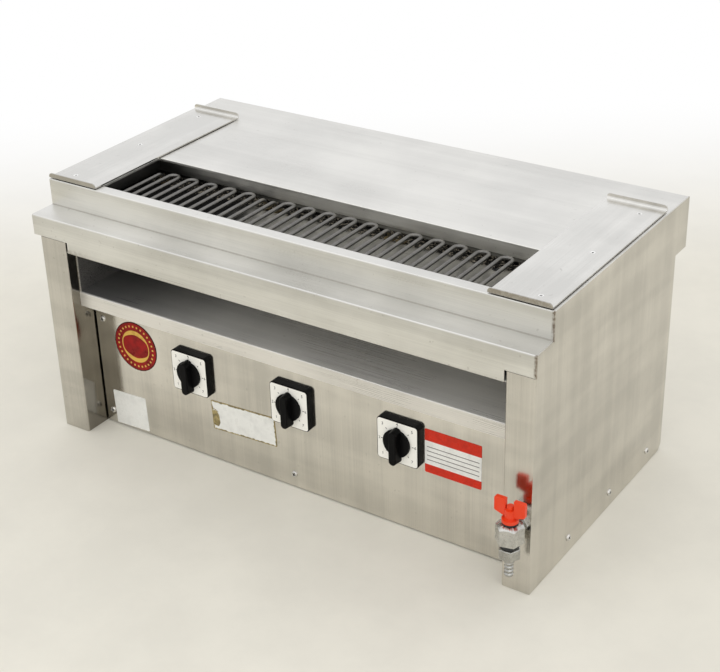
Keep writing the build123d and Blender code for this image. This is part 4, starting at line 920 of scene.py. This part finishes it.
class GRILL_OT_labels(bpy.types.Operator):
    """Finish the plain labels of the control panel."""

    bl_idname = "grill.labels"
    bl_label = "Labels"

    def execute(self, context):
        settings = context.scene.grill_labels
        wear(self.badge(settings), "round_badge")
        wear(self.bare_film(settings), "square_label")
        wear(self.glued_film(settings), "long_label")
        wear(self.bands(settings), "banded_plate")
        return {"FINISHED"}

    def badge(self, settings):
        """A dark disc with two plain crescents and a ring of dots."""
        low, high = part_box("round_badge")
        middle = (low + high) / 2.0
        radius = (high.x - low.x) / 2.0
        colour = settings.badge_colour
        finish = Finish("badge_film", {"Metallic": 0.0, "Specular IOR Level": 0.15})
        away = finish.over(finish.distance((middle.x, low.y, middle.z)), radius)
        across = finish.minus(finish.axis("X"), middle.x)
        up = finish.minus(finish.axis("Z"), middle.z)
        angle = finish.angle(up, across)
        beat = finish.sine(finish.times(angle, settings.badge_dots))
        dots = finish.times(finish.span(beat, 0.25, 0.55), finish.near(away, DOT_RING, DOT_REACH))
        height = finish.size(finish.sine(angle))
        inner = finish.span(height, 0.3, 1.0, CRESCENT_SIDE, CRESCENT_TOP)
        crescents = finish.times(
            finish.span(finish.minus(away, inner), 0.0, PRINT_BLUR),
            finish.falling(away, CRESCENT_OUTER, CRESCENT_OUTER + PRINT_BLUR),
        )
        printed = finish.most(finish.span(dots, 0.25, 0.5), crescents)
        fade = finish.noise(60.0, 5.0, 0.6)
        ground = finish.tones(finish.span(fade, 0.35, 0.7), colour, 0.8, 1.5)
        worn = finish.times(printed, finish.span(fade, 0.25, 0.5, 0.55, 0.95))
        paint = finish.mix(worn, ground, settings.badge_print)
        edge = finish.span(away, BADGE_EDGE, BADGE_EDGE + PRINT_BLUR)
        paint = finish.mix(edge, paint, shade(colour, 0.2))
        return finish.done(paint, finish.spread(fade, 0.24, 0.42))

    def soiled(self, finish, soil, settings, darkest):
        """The colour of film, darker where it is soiled."""
        return finish.tones(finish.span(soil, 0.4, 0.75), settings.film_colour, 1.0, darkest)

    def bare_film(self, settings):
        """Bare film, slightly soiled."""
        finish = Finish("square_film", FILM)
        soil = finish.noise(42.0, 5.0, 0.6)
        paint = self.soiled(finish, soil, settings, 0.86)
        return finish.done(paint, finish.spread(soil, 0.22, 0.4))

    def glued_film(self, settings):
        """Bare film with old glue round its edges and a worn patch at its left end."""
        low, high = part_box("long_label")
        middle = (low + high) / 2.0
        cosine, sine = math.cos(LONG_TILT), math.sin(LONG_TILT)
        finish = Finish("long_film", FILM)
        soil = finish.noise(55.0, 5.0, 0.6)
        torn = finish.noise(170.0, 4.0, 0.6)
        x = finish.minus(finish.axis("X"), middle.x)
        z = finish.minus(finish.axis("Z"), middle.z)
        along = finish.plus(finish.times(x, cosine), finish.times(z, sine))
        rise = finish.minus(finish.times(z, cosine), finish.times(x, sine))
        inset = finish.least(
            finish.minus(LONG_WIDTH / 2.0, finish.size(along)),
            finish.minus(LONG_HEIGHT / 2.0, finish.size(rise)),
        )
        inset = finish.plus(inset, finish.spread(torn, -0.0009, 0.0009))
        rim = finish.falling(inset, 0.0015, 0.0026)
        patch_x = finish.over(finish.plus(along, 0.0535), 0.0085)
        patch_z = finish.over(finish.plus(rise, 0.0045), 0.0150)
        patch = finish.plus(finish.times(patch_x, patch_x), finish.times(patch_z, patch_z))
        patch = finish.plus(patch, finish.spread(torn, -0.25, 0.25))
        glue = finish.most(rim, finish.falling(patch, 0.8, 1.05))
        brown = finish.tones(finish.span(torn, 0.35, 0.65), settings.glue_colour, 0.6, 1.5)
        film = self.soiled(finish, soil, settings, 0.86)
        return finish.done(finish.mix(glue, film, brown), finish.spread(soil, 0.24, 0.45))

    def bands(self, settings):
        """A pale plate with a band along its top and its foot and plain rules between them."""
        low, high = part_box("banded_plate")
        finish = Finish("banded_plate", {"Metallic": 0.0, "Specular IOR Level": 0.2})
        rise = finish.over(finish.minus(finish.axis("Z"), low.z), high.z - low.z)
        head, foot = 1.0 - settings.upper_band, settings.lower_band
        upper = finish.span(rise, head - BAND_BLUR, head + BAND_BLUR)
        lower = finish.falling(rise, foot - BAND_BLUR, foot + BAND_BLUR)
        soil = finish.noise(60.0, 5.0, 0.6)
        paint = self.soiled(finish, soil, settings, 0.84)
        inside = finish.near(finish.axis("X"), (low.x + high.x) / 2.0, (high.x - low.x) / 2.0)
        inside = finish.span(inside, 0.012, 0.02)
        for place in RULES:
            rule = finish.span(finish.near(rise, place, RULE_REACH), 0.3, 0.6)
            paint = finish.mix(finish.times(rule, inside), paint, settings.rule_colour)
        red = finish.tones(finish.span(soil, 0.35, 0.7), settings.band_colour, 1.0, 0.75)
        paint = finish.mix(finish.most(upper, lower), paint, red)
        return finish.done(paint, finish.spread(soil, 0.22, 0.4))


class GRILL_OT_supply(bpy.types.Operator):
    """Finish the cable gland and the terminal block, and rib the gland's cap."""

    bl_idname = "grill.supply"
    bl_label = "Supply"

    def execute(self, context):
        settings = context.scene.grill_supply
        dark = moulding("dark_moulding", settings.moulding_colour, 0.5, COARSE)
        wear(dark, "cable_gland", "gland_nut", "terminal_block")
        low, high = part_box("cable_gland")
        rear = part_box("rear_panel")[1].y
        radius = (high.x - low.x) / 2.0
        middle = Vector(((low.x + high.x) / 2.0, rear, (low.z + high.z) / 2.0))
        shape = bmesh.new()
        for i in range(settings.grip_ribs):
            place = facing(middle, (0.0, 1.0, 0.0), 2.0 * math.pi * i / settings.grip_ribs)
            self.add_rib(shape, place, radius, high.y - rear, settings)
        add_piece("gland_grip", shape, (dark,))
        return {"FINISHED"}

    def add_rib(self, shape, place, radius, length, settings):
        """A rib along the cap, narrower at its crown and rounded off towards the dome."""
        half = settings.rib_width / 2.0
        root = radius - RIB_ROOT
        start, end = RIB_START, length - RIB_END
        outlines = []
        for along, share in ((start, 1.0), (start + 0.0008, 1.0), (end - 0.0014, 1.0), (end, 0.35)):
            crown = radius + settings.rib_height * share
            corners = ((root, -half), (crown, -half * 0.5), (crown, half * 0.5), (root, half))
            outlines.append([(x, y, along) for x, y in corners])
        loft(shape, place, outlines)


class GRILL_OT_stage(bpy.types.Operator):
    """Set the floor, the light and the camera."""

    bl_idname = "grill.stage"
    bl_label = "Stage"

    def execute(self, context):
        settings = context.scene.grill_stage
        context.scene.view_settings.view_transform = "Standard"
        self.lay_floor(settings)
        self.light_world(context.scene, settings)
        for name, power in (("key", settings.key_power), ("fill", settings.fill_power)):
            self.hang_lamp(name + "_lamp", power, *LAMPS[name])
        self.set_camera(context.scene, settings)
        return {"FINISHED"}

    def seen(self, tree):
        """1 for rays that see or mirror a surface, and 0 for rays that gather its light."""
        path = tree.nodes.new("ShaderNodeLightPath")
        share = path.outputs["Is Camera Ray"]
        for ray in ("Is Glossy Ray", "Is Transmission Ray"):
            either = tree.nodes.new("ShaderNodeMath")
            either.operation = "MAXIMUM"
            tree.links.new(share, either.inputs[0])
            tree.links.new(path.outputs[ray], either.inputs[1])
            share = either.outputs[0]
        return share

    def floor_finish(self, settings):
        """A pale, faintly cloudy floor, which turns white behind the grill and far round it."""
        finish = Finish("pale_floor", {"Metallic": 0.0})
        clouds = finish.noise(5.0, 6.0, 0.65)
        paint = finish.tones(finish.spread(clouds), settings.floor_colour, 0.96, 1.03)
        turn = settings.camera_azimuth
        sideways = finish.times(finish.axis("X"), -math.sin(turn))
        forwards = finish.times(finish.axis("Y"), math.cos(turn))
        depth = finish.plus(forwards, sideways)
        behind = finish.span(depth, settings.fade_start, settings.fade_end)
        away = finish.distance((0.0, 0.0, 0.0))
        far = finish.span(away, settings.far_start, settings.far_end)
        white = finish.times(finish.most(behind, far), self.seen(finish.tree))
        glow = finish.node("ShaderNodeEmission", {"Strength": 1.0})
        parts = {0: white, 1: finish.shader.outputs[0], 2: glow}
        cover = finish.node("ShaderNodeMixShader", parts)
        finish.join(cover, finish.tree.nodes["Material Output"].inputs["Surface"])
        return finish.done(paint, finish.spread(clouds, 0.6, 0.8))

    def lay_floor(self, settings):
        """A square floor under the grill."""
        half = settings.floor_size / 2.0
        corners = ((-half, -half), (half, -half), (half, half), (-half, half))
        shape = bmesh.new()
        shape.faces.new([shape.verts.new((x, y, -FLOOR_DROP)) for x, y in corners])
        mesh = bpy.data.meshes.new("floor")
        shape.to_mesh(mesh)
        shape.free()
        mesh.materials.append(self.floor_finish(settings))
        floor = add_object("floor", mesh)

    def light_world(self, scene, settings):
        """Pale surroundings: white where they are seen or mirrored, softer as light."""
        world = bpy.data.worlds.new("pale_surroundings")
        world.use_nodes = True
        scene.world = world
        tree = world.node_tree
        light = tree.nodes["Background"]
        light.inputs["Color"].default_value = (1.0, 1.0, 1.0, 1.0)
        strength = tree.nodes.new("ShaderNodeMapRange")
        strength.inputs["To Min"].default_value = settings.sky_strength
        strength.inputs["To Max"].default_value = 1.0
        tree.links.new(self.seen(tree), strength.inputs["Value"])
        tree.links.new(strength.outputs[0], light.inputs["Strength"])

    def hang_lamp(self, name, power, place, size):
        """A square soft lamp that faces the grill."""
        lamp = bpy.data.lights.new(name, "AREA")
        lamp.energy = power
        lamp.size = size
        aim = (Vector(LIT_PLACE) - Vector(place)).to_track_quat("-Z", "Y")
        holder = add_object(name, lamp)
        holder.matrix_world = Matrix.Translation(place) @ aim.to_matrix().to_4x4()

    def set_camera(self, scene, settings):
        """The camera, at the photograph's viewing angle."""
        turn, tilt = settings.camera_azimuth, settings.camera_elevation
        ahead = math.cos(tilt)
        back = Vector((math.sin(turn) * ahead, -math.cos(turn) * ahead, math.sin(tilt)))
        right = Vector((0.0, 0.0, 1.0)).cross(back).normalized()
        up = back.cross(right)
        level = Matrix((right, up, back)).transposed().to_4x4()
        rolled = level @ Matrix.Rotation(settings.camera_roll, 4, "Z")
        camera = bpy.data.cameras.new("camera")
        camera.lens = settings.lens
        camera.sensor_width = settings.sensor
        holder = add_object("camera", camera)
        holder.matrix_world = Matrix.Translation(settings.camera_place) @ rolled
        scene.camera = holder


STEPS = (
    GRILL_OT_stage,
    GRILL_OT_sheets,
    GRILL_OT_heaters,
    GRILL_OT_screws,
    GRILL_OT_switches,
    GRILL_OT_cock,
    GRILL_OT_labels,
    GRILL_OT_supply,
)

GROUPS = {
    "grill_steel": GrillSteelSettings,
    "grill_screws": GrillScrewSettings,
    "grill_switches": GrillSwitchSettings,
    "grill_cock": GrillCockSettings,
    "grill_labels": GrillLabelSettings,
    "grill_supply": GrillSupplySettings,
    "grill_stage": GrillStageSettings,
}


class GRILL_PT_steps(bpy.types.Panel):
    """Lists the steps that dress the grill."""

    bl_label = "Grill"
    bl_idname = "GRILL_PT_steps"
    bl_space_type = "VIEW_3D"
    bl_region_type = "UI"
    bl_category = "Grill"

    def draw(self, context):
        for step in STEPS:
            self.layout.operator(step.bl_idname)
        for name, group in GROUPS.items():
            box = self.layout.box()
            box.label(text=group.__doc__)
            for field in group.__annotations__:
                box.prop(getattr(context.scene, name), field)


def register():
    for group in GROUPS.values():
        bpy.utils.register_class(group)
    for name, group in GROUPS.items():
        setattr(bpy.types.Scene, name, PointerProperty(type=group))
    for step in STEPS:
        bpy.utils.register_class(step)
    bpy.utils.register_class(GRILL_PT_steps)


def unregister():
    bpy.utils.unregister_class(GRILL_PT_steps)
    for step in reversed(STEPS):
        bpy.utils.unregister_class(step)
    for name, group in GROUPS.items():
        delattr(bpy.types.Scene, name)
        bpy.utils.unregister_class(group)


def main():
    register()
    bpy.ops.grill.stage()
    bpy.ops.grill.sheets()
    bpy.ops.grill.heaters()
    bpy.ops.grill.screws()
    bpy.ops.grill.switches()
    bpy.ops.grill.cock()
    bpy.ops.grill.labels()
    bpy.ops.grill.supply()


if __name__ == "__main__":
    main()
